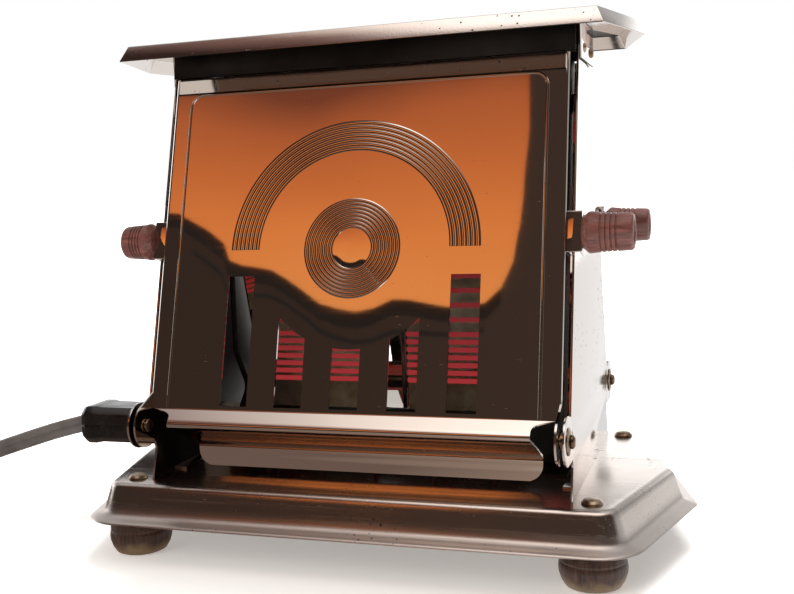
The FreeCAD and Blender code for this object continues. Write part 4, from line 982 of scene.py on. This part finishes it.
def mirrored_board(name, line, upper_line, tones, distance, strength=1.0):
    """A glowing board between two lines of (u, v) on the door, with tones from its foot to its head: a
    painted reflection.
    """
    bm = bmesh.new()
    for edge_line in (line, upper_line):
        verts = [bm.verts.new(mirrored_place(u, v, distance)) for u, v in edge_line]
        for pair in zip(verts, verts[1:]):
            bm.edges.new(pair)
    bmesh.ops.bridge_loops(bm, edges=bm.edges[:])
    mesh = bpy.data.meshes.new(name)
    bm.to_mesh(mesh)
    bm.free()
    made = bpy.data.objects.new(name, mesh)
    bpy.context.collection.objects.link(made)
    glow, tree, shader = finish(name, Base_Color=grey(0.0), Emission_Strength=strength, Roughness=1.0)
    here = add(tree, "ShaderNodeTexCoord").outputs["Object"]
    level = add(tree, "ShaderNodeMapRange", None, {"From Min": min(v.co.z for v in mesh.vertices),
                                                   "From Max": max(v.co.z for v in mesh.vertices)},
                {"Value": add(tree, "ShaderNodeSeparateXYZ", None, None, {"Vector": here}).outputs["Z"]})
    cloud = add(tree, "ShaderNodeTexNoise", None, {"Scale": 2.5, "Detail": 2.0}, {"Vector": here})
    drift = add(tree, "ShaderNodeMath", {"operation": "MULTIPLY_ADD"}, {1: 0.5, 2: -0.25},
                {0: cloud.outputs["Fac"]})
    place = add(tree, "ShaderNodeMath", {"operation": "ADD"}, None,
                {0: level.outputs["Result"], 1: drift.outputs["Value"]})
    tree.links.new(add(tree, "ShaderNodeValToRGB", {"stops": tones}, None,
                       {"Fac": place.outputs["Value"]}).outputs["Color"], shader.inputs["Emission Color"])
    mesh.materials.append(glow)
    for flag in ("visible_camera", "visible_diffuse", "visible_shadow", "visible_transmission"):
        setattr(made, flag, False)


# Painted reflection: the orange band's wavy lower edge on the door, with two dark lines below it.
wave = [(-78, 74), (-70, 73), (-63, 69), (-56, 65), (-50, 61), (-47, 55), (-42, 53), (-36, 52), (-30, 51),
        (-24, 48),
        (-18, 44), (-11, 39), (-4, 37), (3, 36), (9, 37), (16, 40), (22, 40), (29, 39), (36, 38),
        (43, 38), (49, 39),
        (54, 44), (58, 53), (60, 66), (61, 82), (62, 100), (60, 113), (57, 119)]
crest = [(u, 119) for u, v in wave]
mirrored_board("painted_reflection_board", wave, crest, [(0.0, linear("#f79b52")), (0.30, linear("#ee8a43")),
                        (0.55, linear("#d87538")), (0.80, linear("#bd6232")), (1.0, linear("#7d3d22"))],
               0.95)
rim = [(u, v - 5.5) for u, v in wave[:22]]
mirrored_board("painted_reflection_dark_rim", rim, wave[:22], [(0.0, linear("#15100e")), (1.0, linear("#15100e"))], 0.96)
second = [(u, v - 9.0 - 1.2 * math.sin(u * 0.09)) for u, v in wave[2:21]]
mirrored_board("painted_reflection_second_rim", [(u, v - 1.8) for u, v in second], second,
               [(0.0, linear("#1b1512")), (1.0, linear("#1b1512"))], 0.96)
print("the board follows a line of", len(wave), "points")

# %% [markdown]
# Two large round lights, hidden from mirrors, give soft shadows: one above and behind, and a weak
# warm one from the front left.

# %% Lights
def soft_light(name, place, aim, size, watts, colour=(1, 1, 1)):
    data = bpy.data.lights.new(name, "AREA")
    data.shape = "DISK"
    data.size = size
    data.energy = watts
    data.color = colour
    made = bpy.data.objects.new(name, data)
    made.location = place
    made.rotation_euler = (Vector(aim) - Vector(place)).to_track_quat("-Z", "Y").to_euler()
    made.visible_glossy = False
    bpy.context.collection.objects.link(made)


soft_light("top_back_light", (0.1, 0.55, 1.2), (0, 0, 0.05), 0.9, 26)
soft_light("front_fill", (-0.5, -1.0, 0.7), (0, 0, 0.08), 0.8, 7, (1.0, 0.95, 0.9))
bpy.context.scene.view_settings.view_transform = "Standard"
print("two lights placed")
